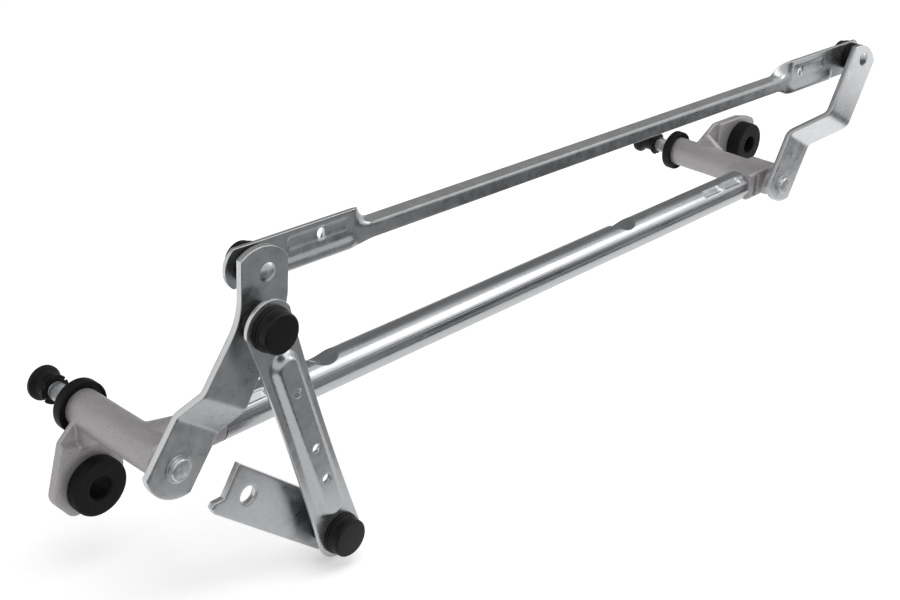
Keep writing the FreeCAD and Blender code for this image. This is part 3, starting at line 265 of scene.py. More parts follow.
def rounded(line: Points, radius: float, closed: bool, steps: int = 3) -> Points:
    """Rounds the sharp corners of a line.

    Args:
        line: Its corners.
        radius: Radius wanted at each corner, less where its sides are short.
        closed: Whether the last corner joins the first.
        steps: How many pieces each round has.

    Returns:
        The corners of the rounded line.
    """
    count = len(line)
    out = []
    for index, corner in enumerate(line):
        if not closed and index in (0, count - 1):
            out.append(corner)
            continue
        back = line[index - 1] - corner
        ahead = line[(index + 1) % count] - corner
        lengths = np.linalg.norm(back), np.linalg.norm(ahead)
        back, ahead = back / lengths[0], ahead / lengths[1]
        turn = math.pi - math.acos(max(-1.0, min(1.0, float(back @ ahead))))
        if turn < math.radians(25.0):
            out.append(corner)
            continue
        reach = min(radius * math.tan(turn / 2), 0.45 * min(lengths))
        for share in np.linspace(0.0, 1.0, steps + 1):
            start = corner + back * reach * (1.0 - share)
            end = corner + ahead * reach * share
            out.append(start * (1.0 - share) + end * share)
    return np.array(out)


def refined(loop: Points, step: float, sharp: float = 24.0) -> Points:
    """Puts more points on a loop, on smooth arcs where it turns only a little.

    Args:
        loop: Its corners.
        step: Wanted distance between points.
        sharp: Turn in degrees from which a corner stays a corner.

    Returns:
        The denser loop.
    """
    sides = np.roll(loop, -1, axis=0) - loop
    lengths = np.linalg.norm(sides, axis=1)
    ways = sides / lengths[:, None]
    dots = np.clip((np.roll(ways, 1, axis=0) * ways).sum(axis=1), -1.0, 1.0)
    turns = np.degrees(np.arccos(dots))

    def tangent(corner: int, side: int) -> Points:
        """The loop's direction at a corner, for the side that is divided."""
        other = corner - 1 if corner == side else corner
        if turns[corner] > sharp or lengths[side] > 2.0 * lengths[other]:
            return ways[side]
        if lengths[other] > 2.0 * lengths[side]:
            return ways[other]
        mean = ways[side] + ways[other]
        return mean / np.linalg.norm(mean)

    count = len(loop)
    out = []
    for side in range(count):
        after = (side + 1) % count
        start, end = loop[side], loop[after]
        leave = tangent(side, side) * lengths[side]
        arrive = tangent(after, side) * lengths[side]
        pieces = max(1, round(lengths[side] / step))
        for t in np.arange(pieces) / pieces:
            out.append(start * (2 * t**3 - 3 * t**2 + 1) + leave * (t**3 - 2 * t**2 + t)
                       + end * (3 * t**2 - 2 * t**3) + arrive * (t**3 - t**2))
    return np.array(out)


def inset(loop: Points, depth: float) -> Points:
    """Moves a loop to its left by a depth."""
    ways = np.roll(loop, -1, axis=0) - loop
    ways /= np.linalg.norm(ways, axis=1)[:, None]
    lefts = np.stack((-ways[:, 1], ways[:, 0]), axis=1)
    before = np.roll(lefts, 1, axis=0)
    spread = 1.0 + (before * lefts).sum(axis=1)
    return loop + (before + lefts) / np.maximum(spread, 0.4)[:, None] * depth


def inside(points: Points, loops: Sequence[Points]) -> Points:
    """Tells which points lie inside an outline and outside its holes."""
    crossings = np.zeros(len(points), int)
    for loop in loops:
        start, end = loop, np.roll(loop, -1, axis=0)
        rise = end[:, 1] - start[:, 1]
        spans = (start[None, :, 1] > points[:, None, 1]) != (end[None, :, 1] > points[:, None, 1])
        share = (points[:, None, 1] - start[None, :, 1]) / np.where(rise == 0.0, 1.0, rise)[None, :]
        meets = start[None, :, 0] + share * (end[:, 0] - start[:, 0])[None, :]
        crossings += (spans & (points[:, None, 0] < meets)).sum(axis=1)
    return crossings % 2 == 1


def ring_faces(rings: int, steps: int, closed: bool) -> list[tuple[int, int, int, int]]:
    """Joins rings of points by faces.

    Args:
        rings: Number of rings.
        steps: Points on each ring.
        closed: Whether the last ring joins the first.

    Returns:
        The corners of each face.
    """
    faces = []
    for ring in range(rings if closed else rings - 1):
        near, far = ring * steps, (ring + 1) % rings * steps
        for step in range(steps):
            after = (step + 1) % steps
            faces.append((near + step, near + after, far + after, far + step))
    return faces


def divided(start: Points, end: Points, step: float) -> list[Points]:
    """Points from a start up to an end, without it, no further apart than a step."""
    pieces = max(1, math.ceil(float(np.linalg.norm(end - start)) / step))
    return [start + (end - start) * share for share in np.arange(pieces) / pieces]


# Finishes

class Shade:
    """A short way to write one material's nodes. Lengths are millimetres in the part's frame."""

    def __init__(self, name: str) -> None:
        """Starts a material with its shader and the place on the piece."""
        self.material = bpy.data.materials.new(name)
        self.material.use_nodes = True
        self.tree = self.material.node_tree
        self.shader = self.tree.nodes["Principled BSDF"]
        self.place = self.add("ShaderNodeTexCoord").outputs["Object"]

    def add(self, kind: str, **settings: object) -> bpy.types.Node:
        """Adds a node and sets its properties."""
        node = self.tree.nodes.new(kind)
        for key, setting in settings.items():
            setattr(node, key, setting)
        return node

    def feed(self, socket: bpy.types.NodeSocket, source: object) -> None:
        """Gives a socket a link or a constant."""
        if isinstance(source, bpy.types.NodeSocket):
            self.tree.links.new(source, socket)
        else:
            socket.default_value = source

    def stretched(self, stretch: tuple[float, float, float]) -> bpy.types.NodeSocket:
        """The place with its axes scaled, so that what lies on it is drawn out."""
        node = self.add("ShaderNodeMapping")
        self.feed(node.inputs["Vector"], self.place)
        node.inputs["Scale"].default_value = stretch
        return node.outputs["Vector"]

    def noise(self, size: float, detail: float = 4.0, rough: float = 0.55,
              stretch: tuple[float, float, float] = (1.0, 1.0, 1.0)) -> bpy.types.NodeSocket:
        """Cloudy noise whose blots are about size across."""
        node = self.add("ShaderNodeTexNoise")
        self.feed(node.inputs["Vector"], self.stretched(stretch))
        node.inputs["Scale"].default_value = 1.0 / (size * MM)
        node.inputs["Detail"].default_value = detail
        node.inputs["Roughness"].default_value = rough
        return node.outputs["Fac"]

    def cells(self, size: float) -> bpy.types.NodeSocket:
        """Distance to the middle of the nearest cell, for pits and grains."""
        node = self.add("ShaderNodeTexVoronoi")
        self.feed(node.inputs["Vector"], self.place)
        node.inputs["Scale"].default_value = 1.0 / (size * MM)
        return node.outputs["Distance"]

    def spread(self, source: bpy.types.NodeSocket, low: float, high: float,
               first: float = 0.0, last: float = 1.0) -> bpy.types.NodeSocket:
        """Maps low and high of a source to first and last, held between them."""
        node = self.add("ShaderNodeMapRange")
        self.feed(node.inputs["Value"], source)
        for key, number in (("From Min", low), ("From Max", high), ("To Min", first), ("To Max", last)):
            node.inputs[key].default_value = number
        return node.outputs["Result"]

    def maths(self, operation: str, first: object, second: object) -> bpy.types.NodeSocket:
        """One operation on two sources or numbers."""
        node = self.add("ShaderNodeMath", operation=operation)
        self.feed(node.inputs[0], first)
        self.feed(node.inputs[1], second)
        return node.outputs[0]

    def mix(self, share: object, first: object, second: object,
            blend: str = "MIX") -> bpy.types.NodeSocket:
        """A colour between two colours, or the first one blended with the second."""
        node = self.add("ShaderNodeMix", data_type="RGBA", blend_type=blend)
        self.feed(node.inputs[0], share)
        self.feed(node.inputs[6], first)
        self.feed(node.inputs[7], second)
        return node.outputs[2]

    def part(self, axis: str, source: bpy.types.NodeSocket) -> bpy.types.NodeSocket:
        """One coordinate of a vector."""
        node = self.add("ShaderNodeSeparateXYZ")
        self.feed(node.inputs[0], source)
        return node.outputs[axis]

    def sheared(self) -> bpy.types.NodeSocket:
        """Where the surface is the narrow edge of a sheet that faces the front or back."""
        facing = self.part("Y", self.add("ShaderNodeTexCoord").outputs["Normal"])
        return self.spread(self.maths("ABSOLUTE", facing, 0.0), 0.45, 0.25)

    def wear(self, radius: float) -> bpy.types.NodeSocket:
        """How far a point lies on a sharp edge, from the bevelled normal."""
        bevel = self.add("ShaderNodeBevel", samples=4)
        bevel.inputs["Radius"].default_value = radius * MM
        dot = self.add("ShaderNodeVectorMath", operation="DOT_PRODUCT")
        self.feed(dot.inputs[0], bevel.outputs[0])
        self.feed(dot.inputs[1], self.add("ShaderNodeNewGeometry").outputs["Normal"])
        return self.spread(dot.outputs["Value"], 0.99, 0.8)

    def bumps(self, *heights: tuple[bpy.types.NodeSocket, float]) -> None:
        """Raises the surface by each source times a height, one after the other."""
        normal = None
        for source, height in heights:
            node = self.add("ShaderNodeBump")
            node.inputs["Distance"].default_value = height * MM
            self.feed(node.inputs["Height"], source)
            if normal is not None:
                self.feed(node.inputs["Normal"], normal)
            normal = node.outputs["Normal"]
        self.feed(self.shader.inputs["Normal"], normal)

    def finish(self, colour: object, rough: object, metal: float, gloss: float = 0.5) -> bpy.types.Material:
        """Feeds the shader and returns the material."""
        self.feed(self.shader.inputs["Base Color"], colour)
        self.feed(self.shader.inputs["Roughness"], rough)
        self.shader.inputs["Metallic"].default_value = metal
        self.shader.inputs["Specular IOR Level"].default_value = gloss
        return self.material


def rgb(grey: float, warm: float = 0.0) -> tuple[float, float, float, float]:
    """A grey as a colour, with a little red over blue where warm is above 0."""
    return (grey * (1.0 + warm), grey, grey * (1.0 - warm), 1.0)


@dataclass(frozen=True)
class ZincFinish:
    """Zinc plated steel with fine speckle, soft smudges and lighter edges.

    Attributes:
        name: Name of the material.
        grey: Mean brightness.
        cool: How bluish the plating is.
        contrast: How strong the speckle and smudges are.
        rough: Mean roughness.
        metal: Share of metal reflection.
        edge: Brightness of sheared and worn edges.
        drawn: Whether the marks run along X, as on a drawn tube.
    """

    name: str
    grey: float = 0.33
    cool: float = 0.03
    contrast: float = 0.18
    rough: float = 0.30
    metal: float = 0.9
    edge: float = 0.6
    drawn: bool = False

    def build(self) -> bpy.types.Material:
        """Makes the material."""
        shade = Shade(self.name)
        stretch = (0.12, 1.0, 1.0) if self.drawn else (1.0, 1.0, 1.0)
        speckle = shade.noise(1.1, 5.0, 0.6, stretch)
        blots = shade.noise(7.0, 4.0, 0.6, stretch)
        smudge = shade.noise(24.0, 3.0, 0.5, stretch)
        dark = rgb(self.grey * (1.0 - self.contrast), -self.cool)
        light = rgb(self.grey * (1.0 + self.contrast), -self.cool * 0.7)
        tone = shade.mix(shade.spread(blots, 0.3, 0.7), dark, light)
        tone = shade.mix(shade.spread(speckle, 0.3, 0.7, 0.0, 0.5), tone, rgb(self.grey, -self.cool))
        tone = shade.mix(shade.spread(smudge, 0.5, 0.72, 0.0, 0.35), tone, dark)
        if not self.drawn:
            tone = shade.mix(shade.sheared(), tone, rgb(self.edge, -0.01))
        tone = shade.mix(shade.maths("MULTIPLY", shade.wear(0.3), 0.25), tone, rgb(self.edge))
        rough = shade.spread(blots, 0.3, 0.7, self.rough - 0.06, self.rough + 0.08)
        shade.bumps((blots, 0.005), (speckle, 0.0012), (shade.noise(0.25, 3.0), 0.0015))
        return shade.finish(tone, rough, self.metal)


@dataclass(frozen=True)
class CastFinish:
    """Die-cast metal: matte, a little warm, with grain, flow marks and small pits.

    Attributes:
        name: Name of the material.
        grey: Mean brightness.
        warm: How much red lies over blue.
        tint: A faint violet that lies over it all.
    """

    name: str
    grey: float = 0.39
    warm: float = 0.005
    tint: tuple[float, float, float, float] = (1.0, 0.9575, 0.99, 1.0)

    def build(self) -> bpy.types.Material:
        """Makes the material."""
        shade = Shade(self.name)
        grain = shade.noise(0.45, 4.0, 0.65)
        flow = shade.noise(14.0, 4.0, 0.6, (1.0, 0.4, 1.0))
        pits = shade.spread(shade.cells(3.4), 0.05, 0.16)
        tone = shade.mix(shade.spread(grain, 0.3, 0.7), rgb(self.grey * 0.78, self.warm),
                         rgb(self.grey * 1.22, self.warm))
        tone = shade.mix(shade.spread(flow, 0.45, 0.75, 0.0, 0.5), tone, rgb(self.grey * 1.3, self.warm))
        tone = shade.mix(pits, rgb(self.grey * 0.55, self.warm), tone)
        tone = shade.mix(shade.maths("MULTIPLY", shade.wear(0.6), 0.4), tone, rgb(self.grey * 1.7))
        tone = shade.mix(1.0, tone, self.tint, "MULTIPLY")
        rough = shade.spread(flow, 0.35, 0.7, 0.42, 0.56)
        shade.bumps((flow, 0.12), (grain, 0.05), (pits, 0.06))
        return shade.finish(tone, rough, 0.5)


@dataclass(frozen=True)
class BlackFinish:
    """Black rubber or plastic with fine texture, faint dust and scuffed edges.

    Attributes:
        name: Name of the material.
        grey: Mean brightness.
        rough: Mean roughness.
        grain: Size of the texture.
        depth: Height of the texture.
    """

    name: str
    grey: float = 0.006
    rough: float = 0.5
    grain: float = 0.3
    depth: float = 0.02

    def build(self) -> bpy.types.Material:
        """Makes the material."""
        shade = Shade(self.name)
        grain = shade.noise(self.grain, 3.0, 0.6)
        dust = shade.noise(5.0, 5.0, 0.7)
        tone = shade.mix(shade.spread(grain, 0.3, 0.7), rgb(self.grey * 0.7), rgb(self.grey * 1.3))
        tone = shade.mix(shade.spread(dust, 0.52, 0.8, 0.0, 0.25), tone, rgb(self.grey * 3.0))
        tone = shade.mix(shade.maths("MULTIPLY", shade.wear(0.4), 0.4), tone, rgb(self.grey * 4.0))
        rough = shade.spread(dust, 0.3, 0.75, self.rough - 0.06, self.rough + 0.14)
        shade.bumps((dust, self.depth * 1.5), (grain, self.depth))
        return shade.finish(tone, rough, 0.0, 0.16)


@dataclass(frozen=True)
class TurnedFinish:
    """Turned or rolled metal with fine rings round the spindle's axis.

    Attributes:
        name: Name of the material.
        colour: Its colour.
        rough: Mean roughness.
        metal: Share of metal reflection.
    """

    name: str
    colour: tuple[float, float, float] = (0.5, 0.51, 0.52)
    rough: float = 0.32
    metal: float = 0.9

    def build(self) -> bpy.types.Material:
        """Makes the material."""
        shade = Shade(self.name)
        rings = shade.noise(0.5, 3.0, 0.6, (0.15, 1.0, 0.15))
        stain = shade.noise(2.2, 4.0, 0.65)
        dark = (*(part * 0.6 for part in self.colour), 1.0)
        light = (*(min(1.0, part * 1.25) for part in self.colour), 1.0)
        tone = shade.mix(shade.spread(rings, 0.3, 0.7), dark, light)
        tone = shade.mix(shade.spread(stain, 0.5, 0.8, 0.0, 0.6), tone, dark)
        tone = shade.mix(shade.maths("MULTIPLY", shade.wear(0.3), 0.5), tone, light)
        rough = shade.spread(stain, 0.3, 0.7, self.rough - 0.05, self.rough + 0.12)
        shade.bumps((rings, 0.02), (stain, 0.02))
        return shade.finish(tone, rough, self.metal)


class Look(Enum):
    """Every finish on the linkage."""

    CASTING = CastFinish("cast_housing")
    TUBE = ZincFinish("zinc_tube", grey=0.44, contrast=0.07, rough=0.27, metal=0.97, drawn=True)
    LEFT_CRANK = ZincFinish("zinc_crank", grey=0.42)
    # Painted light: the far crank is the same zinc as the near crank, painted much lighter as if more
    # brightly lit, with its sheared edges left darker than its face.
    RIGHT_CRANK = ZincFinish("zinc_far_crank_painted_lit", grey=0.62, contrast=0.12, edge=0.4)
    LINK = ZincFinish("zinc_link", grey=0.42, contrast=0.1, rough=0.28)
    RIVET = ZincFinish("zinc_rivet", grey=0.40, contrast=0.2, rough=0.32)
    SPINDLE = TurnedFinish("turned_spindle", (0.55, 0.56, 0.57))
    WASHER = TurnedFinish("plain_washer", (0.42, 0.42, 0.43), 0.4)
    CIRCLIP = TurnedFinish("phosphated_circlip", (0.05, 0.05, 0.055), 0.55, 0.6)
    BUSH = TurnedFinish("sintered_bush", (0.42, 0.27, 0.13), 0.5, 0.85)
    GROMMET = BlackFinish("grommet_rubber_look", grey=0.005, rough=0.6, grain=0.4, depth=0.03)
    SEAL = BlackFinish("seal_rubber_look", grey=0.005, rough=0.5)
    CAP = BlackFinish("cap_plastic_look", grey=0.006, rough=0.4, grain=0.25)
    SOCKET = BlackFinish("socket_plastic_look", grey=0.007, rough=0.45)

    @property
    def material(self) -> bpy.types.Material:
        """The finish's material, made when it is first asked for."""
        return bpy.data.materials.get(self.value.name) or self.value.build()


# Pieces

@dataclass
class Piece:
    """What every dressed piece has.

    Attributes:
        node: The node that it stands for.
        look: Its finish.
    """

    node: str
    look: Look

    def show(self, points: Points, faces: Sequence[Sequence[int]], sharp: float = 38.0) -> bpy.types.Object:
        """Makes the object, lets it ride on its body and hides the node that it stands for.

        Args:
            points: Places of its corners.
            faces: Corners of each face.
            sharp: Angle in degrees from which an edge isn't shaded smooth.

        Returns:
            The object.
        """
        mesh = bpy.data.meshes.new(f"{self.node}_look")
        mesh.from_pydata([tuple(point) for point in points * MM], [], [tuple(face) for face in faces])
        tidy = bmesh.new()
        tidy.from_mesh(mesh)
        bmesh.ops.remove_doubles(tidy, verts=tidy.verts, dist=0.001 * MM)
        bmesh.ops.recalc_face_normals(tidy, faces=tidy.faces)
        tidy.to_mesh(mesh)
        tidy.free()
        return self.dress(mesh, sharp)

    def dress(self, mesh: bpy.types.Mesh, sharp: float = 38.0) -> bpy.types.Object:
        """Gives a finished mesh its object, finish and body."""
        mesh.materials.clear()
        mesh.materials.append(self.look.material)
        mesh.polygons.foreach_set("use_smooth", [True] * len(mesh.polygons))
        mesh.set_sharp_from_angle(angle=math.radians(sharp))
        item = bpy.data.objects.new(f"{self.node}_look", mesh)
        bpy.context.scene.collection.objects.link(item)
        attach(item, frame["nodes"][self.node]["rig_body"])
        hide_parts(self.node)
        LOG.info("%s: %d faces", item.name, len(mesh.polygons))
        return item


@dataclass
class TurnedPiece(Piece):
    """A piece turned about the spindle's direction, from its node's own profile.

    Attributes:
        corner: Radius on its corners.
        steps: How many facets it has round.
        pitch: Distance of rings on its straight stretches, or 0 for none.
    """

    corner: float = 0.35
    steps: int = 72
    pitch: float = 0.0

    def relief(self, radius: Points, along: Points, turn: Points) -> Points:
        """The radius after teeth, notches and the like are cut. A plain piece has none."""
        return radius

    def profile(self) -> tuple[Points, bool]:
        """The node's profile with rounded corners."""
        line, closed = meridian(self.node)
        line = rounded(line, self.corner, closed)
        if self.pitch:
            after = np.roll(line, -1, axis=0)
            sides = zip(line, after) if closed else zip(line[:-1], after[:-1])
            out = [point for start, end in sides for point in divided(start, end, self.pitch)]
            line = np.array(out if closed else [*out, line[-1]])
        return line, closed

    def build(self) -> bpy.types.Object:
        """Makes the piece."""
        line, closed = self.profile()
        axis = axis_of(self.node)
        turns = np.arange(self.steps) * 2.0 * math.pi / self.steps
        rings = []
        for radius, along in line:
            cut = self.relief(np.full(self.steps, radius), np.full(self.steps, along), turns)
            rings.append(np.stack((axis[0] + cut * np.cos(turns), np.full(self.steps, along),
                                   axis[2] + cut * np.sin(turns)), axis=1))
        return self.show(np.concatenate(rings), ring_faces(len(line), self.steps, closed))


@dataclass
class SpindlePiece(TurnedPiece):
    """A spindle with a splined knurl and a thread under its cap.

    Attributes:
        teeth: Number of splines.
        tooth_depth: Depth of the splines.
        thread_pitch: Pitch of the thread.
        thread_depth: Depth of the thread.
        thread_lead: Length between the splines and the thread.
        thread_core: Radius above which a ring carries the thread.
        spline_core: Radius above which a ring carries splines.
        end_zone: How near to the knurl's end a corner has to lie to move with it.
        plain_step: Distance between rings elsewhere.
        knurl_more: How far the splines run on beyond the solid's knurl.
    """

    corner: float = 0.3
    steps: int = 144
    teeth: int = 36
    tooth_depth: float = 0.55
    thread_pitch: float = 1.25
    thread_depth: float = 0.5
    thread_lead: float = 0.6
    thread_core: float = 2.5
    spline_core: float = 5.0
    end_zone: float = 0.8
    plain_step: float = 8.0
    knurl_more: float = 0.0

    def zones(self) -> tuple[float, float, float]:
        """Where the knurl starts and ends, and where the spindle ends."""
        mount = next(row for row in frame["record"]["mounts"]
                     if row["name"] == self.node.replace("spindle", "spindle_end"))
        half = mount["dims"]["length_mm"] / 2
        middle = mount["pos_m"][1] / MM
        return middle - half, middle + half, node_box(self.node)[1][1]

    def profile(self) -> tuple[Points, bool]:
        """The profile with close rings where the thread is."""
        line, closed = super().profile()
        _, knurl_end, _ = self.zones()
        line[np.abs(line[:, 1] - knurl_end) < self.end_zone, 1] += self.knurl_more
        knurl_end += self.knurl_more
        out = []
        for start, end in zip(line[:-1], line[1:]):
            threaded = min(start[1], end[1]) > knurl_end - 0.1
            out.extend(divided(start, end, self.thread_pitch / 4 if threaded else self.plain_step))
        return np.array(out + [line[-1]]), closed

    def relief(self, radius: Points, along: Points, turn: Points) -> Points:
        """Cuts the splines and the thread."""
        knurl_start, knurl_end, tip = self.zones()
        knurl_end += self.knurl_more
        if along[0] > knurl_end + self.thread_lead and radius[0] > self.thread_core:
            phase = (along / self.thread_pitch - turn / (2.0 * math.pi)) % 1.0
            fade = np.clip((tip - along) / self.thread_pitch, 0.0, 1.0)
            return radius - self.thread_depth * fade * np.abs(phase - 0.5) * 2.0
        if knurl_start - 0.3 < along[0] < knurl_end + 0.1 and radius[0] > self.spline_core:
            phase = (turn * self.teeth / (2.0 * math.pi)) % 1.0
            return radius - self.tooth_depth * (1.0 - np.abs(phase - 0.5) * 2.0)
        return radius


@dataclass
class CapPiece(TurnedPiece):
    """A protective cap with notches round its rim.

    Attributes:
        notches: Number of notches.
        notch_width: Width of a notch.
        notch_floor: Radius of its floor.
        rim_depth: Length of the rim along the axis.
        set_back: How much later the rim starts, so that more of the splines shows.
        set_out: How much further the disc reaches.
    """

    corner: float = 0.9
    steps: int = 144
    pitch: float = 0.7
    notches: int = 6
    notch_width: float = 2.2
    notch_floor: float = 7.2
    rim_depth: float = 3.4
    set_back: float = 0.0
    set_out: float = 0.0

    def profile(self) -> tuple[Points, bool]:
        """The profile with its length drawn together."""
        line, closed = super().profile()
        end = node_box(self.node)[1][1]
        share = 1.0 + (self.set_out - self.set_back) / np.ptp(line[:, 1])
        line[:, 1] = end + self.set_out - (end - line[:, 1]) * share
        return line, closed

    def relief(self, radius: Points, along: Points, turn: Points) -> Points:
        """Cuts the notches."""
        start = node_box(self.node)[0][1] + self.set_back
        if along[0] > start + self.rim_depth:
            return radius
        part = 2.0 * math.pi / self.notches
        offset = (turn % part) - part / 2
        cut = np.abs(offset) * radius < self.notch_width / 2
        return np.where(cut, np.minimum(radius, self.notch_floor), radius)


@dataclass
class GrommetPiece(TurnedPiece):
    """A rubber grommet with small ribs in its bore.

    Attributes:
        ribs: Number of ribs in the bore.
        rib_height: Height of the ribs.
        bore_limit: Radius below which a point lies in the bore.
        rib_margin: How far the ribs end before the grommet does.
    """

    corner: float = 0.9
    steps: int = 120
    pitch: float = 1.0
    ribs: int = 6
    rib_height: float = 0.35
    bore_limit: float = 7.5
    rib_margin: float = 1.2

    def relief(self, radius: Points, along: Points, turn: Points) -> Points:
        """Raises the ribs."""
        low, high = node_box(self.node)
        if radius[0] < self.bore_limit and low[1] + self.rib_margin < along[0] < high[1] - self.rib_margin:
            wave = np.maximum(0.0, np.cos(turn * self.ribs)) ** 4
            return radius + self.rib_height * (1.0 - wave) - self.rib_height * 0.5
        return radius


@dataclass
class SheetPiece(Piece):
    """A pressed sheet: a blank with holes, meshed finely and pressed into its form.

    Attributes:
        thickness: Thickness of the sheet.
        spacing: Distance between points on its faces.
        edge: Radius on its sheared edges.
        border: Distance between points on its outline.
    """

    thickness: float = 4.0
    spacing: float = 1.6
    edge: float = 0.5
    border: float = 1.1

    def loops(self) -> list[Points]:
        """The blank's outline and holes, from the node's front."""
        return [refined(loop, self.border) for loop in front_loops(self.node)]

    def press(self, blank: Points) -> Points:
        """Places points of the blank on the sheet's front. A flat sheet only needs its front's Y."""
        front = node_box(self.node)[0][1]
        return np.stack((blank[:, 0], np.full(len(blank), front), blank[:, 1]), axis=1)

    def at_depth(self, blank: Points, depth: float) -> Points:
        """Places points of the blank at a depth behind the sheet's front."""
        small = 0.02
        across = self.press(blank + (small, 0.0)) - self.press(blank - (small, 0.0))
        up = self.press(blank + (0.0, small)) - self.press(blank - (0.0, small))
        behind = np.cross(up, across)
        behind /= np.linalg.norm(behind, axis=1)[:, None]
        return self.press(blank) + behind * depth

    def rings(self) -> list[tuple[float, float]]:
        """Inset and depth of each row of points round the edge, from front to back."""
        turns = np.radians((0.0, 30.0, 60.0, 90.0))
        front = [(self.edge * (1.0 - math.sin(turn)), self.edge * (1.0 - math.cos(turn))) for turn in turns]
        return front + [(away, self.thickness - depth) for away, depth in reversed(front)]

    def face(self, loops: Sequence[Points]) -> tuple[Points, list[tuple[int, ...]]]:
        """Meshes the blank within its loops.

        Args:
            loops: The outline and holes, already inset.

        Returns:
            The points, with the loops' own points first and in order, and the triangles.
        """
        low, high = loops[0].min(axis=0), loops[0].max(axis=0)
        row = self.spacing * math.sqrt(3.0) / 2
        ups = np.arange(low[1], high[1], row)
        acrosses = np.arange(low[0], high[0], self.spacing)
        across, up = np.meshgrid(acrosses, ups)
        across = across + (np.arange(len(ups)) % 2)[:, None] * self.spacing / 2
        grid = np.stack((across.ravel(), up.ravel()), axis=1)
        grid = grid[inside(grid, loops)]
        border = np.concatenate(loops)
        kept = [part[np.linalg.norm(part[:, None] - border[None], axis=2).min(axis=1) > self.spacing * 0.55]
                for part in np.array_split(grid, max(1, len(grid) // 400))]
        grid = np.concatenate(kept)
        sides = []
        first = 0
        for loop in loops:
            count = len(loop)
            sides.extend((first + step, first + (step + 1) % count) for step in range(count))
            first += count
        points = np.concatenate((border, grid))
        corners = [Vector(point) for point in points]
        flat, _, faces, origins, _, _ = delaunay_2d_cdt(corners, sides, [], 0, 1e-6)
        source = [group[0] if group else -1 for group in origins]
        extra = [np.array(flat[index]) for index, start in enumerate(source) if start < 0]
        for index, start in enumerate(source):
            if start < 0:
                source[index] = len(points) + sum(1 for item in source[:index] if item >= len(points))
        if extra:
            points = np.concatenate((points, extra))
        corners = np.array([[source[index] for index in face] for face in faces if len(face) == 3])
        middles = points[corners].mean(axis=1)
        spans = points[corners[:, [1, 2, 0]]] - points[corners]
        doubles = np.abs(spans[:, 0, 0] * spans[:, 1, 1] - spans[:, 0, 1] * spans[:, 1, 0])
        longest = np.linalg.norm(spans, axis=2).max(axis=1)
        sound = inside(middles, loops) & (doubles > SLIVER * longest)
        return points, [tuple(face) for face in corners[sound]]

    def build(self) -> bpy.types.Object:
        """Makes the piece."""
        loops = self.loops()
        rings = self.rings()
        first_inset = rings[0][0]
        blank, faces = self.face([inset(loop, first_inset) for loop in loops])
        count = len(blank)
        points = [self.at_depth(blank, 0.0), self.at_depth(blank, self.thickness)]
        quads = list(faces) + [tuple(count + corner for corner in reversed(face)) for face in faces]
        start = 0
        total = 2 * count
        for loop in loops:
            size = len(loop)
            rows = [np.arange(start, start + size)]
            for away, depth in rings[1:-1]:
                points.append(self.at_depth(inset(loop, away), depth))
                rows.append(np.arange(total, total + size))
                total += size
            rows.append(np.arange(count + start, count + start + size))
            for upper, lower in zip(rows[:-1], rows[1:]):
                ahead_upper, ahead_lower = np.roll(upper, -1), np.roll(lower, -1)
                quads.extend(zip(upper.tolist(), lower.tolist(), ahead_lower.tolist(), ahead_upper.tolist()))
            start += size
        return self.show(np.concatenate(points), quads, 50.0)


@dataclass
class CrankPiece(SheetPiece):
    """A crank with a Z bend across its strip.

    Attributes:
        station: Joint that the crank turns on.
        lean: Degrees that the strip leans from +Z towards +X.
        low: Where the bend starts on the front, along the strip.
        high: Where it ends.
        valley: Radius of the bend's hollow corner.
    """

    station: str = "left_spindle_turn"
    lean: float = 33.5
    low: float = 23.5
    high: float = 39.5
    valley: float = 3.0

    def press(self, blank: Points) -> Points:
        """Steps the strip forward through the bend."""
        place = joint_place(self.station)
        step = place[1] - node_box(self.node)[0][1]
        lean = math.radians(self.lean)
        along = (blank - place[[0, 2]]) @ (math.sin(lean), math.cos(lean))
        slope = math.atan2(step, self.high - self.low)
        ridge = self.valley + self.thickness
        reaches = [radius * math.tan(slope / 2) for radius in (self.valley, ridge)]
        into = np.clip(along - self.low + reaches[0], 0.0, self.valley * math.sin(slope))
        out = np.clip(self.high + reaches[1] - along, 0.0, ridge * math.sin(slope))
        valley = self.valley - np.sqrt(self.valley**2 - into**2)
        crest = step - ridge + np.sqrt(ridge**2 - out**2)
        flank = np.clip((along - self.low) * math.tan(slope), 0.0, step)
        forward = np.where(into < self.valley * math.sin(slope), valley,
                           np.where(out < ridge * math.sin(slope), crest, flank))
        return np.stack((blank[:, 0], place[1] - forward, blank[:, 1]), axis=1)


@dataclass
class DriveLinkPiece(SheetPiece):
    """The drive link with its pressed hat rib.

    Attributes:
        rib_inset: Where the rib's round ends have their centres, from the balls.
        rib_height: How far the rib stands forward.
        crest: Half the width of the rib's flat top.
        foot: Half the width of its foot.
    """

    thickness: float = 2.5
    spacing: float = 1.15
    edge: float = 0.4
    rib_inset: float = 25.5
    rib_height: float = 5.0
    crest: float = 5.0
    foot: float = 9.6

    def press(self, blank: Points) -> Points:
        """Raises the rib between its two round ends."""
        upper, lower = (joint_place(name)[[0, 2]] for name in ("drive_link_turn", "motor_crank_turn"))
        length = float(np.linalg.norm(lower - upper))
        way = (lower - upper) / length
        along = (blank - upper) @ way
        nearest = upper + np.clip(along, self.rib_inset, length - self.rib_inset)[:, None] * way
        away = np.linalg.norm(blank - nearest, axis=1)
        rise = self.rib_height * smooth_step((self.foot - away) / (self.foot - self.crest))
        front = node_box(self.node)[0][1] + self.rib_height
        return np.stack((blank[:, 0], front - rise, blank[:, 1]), axis=1)


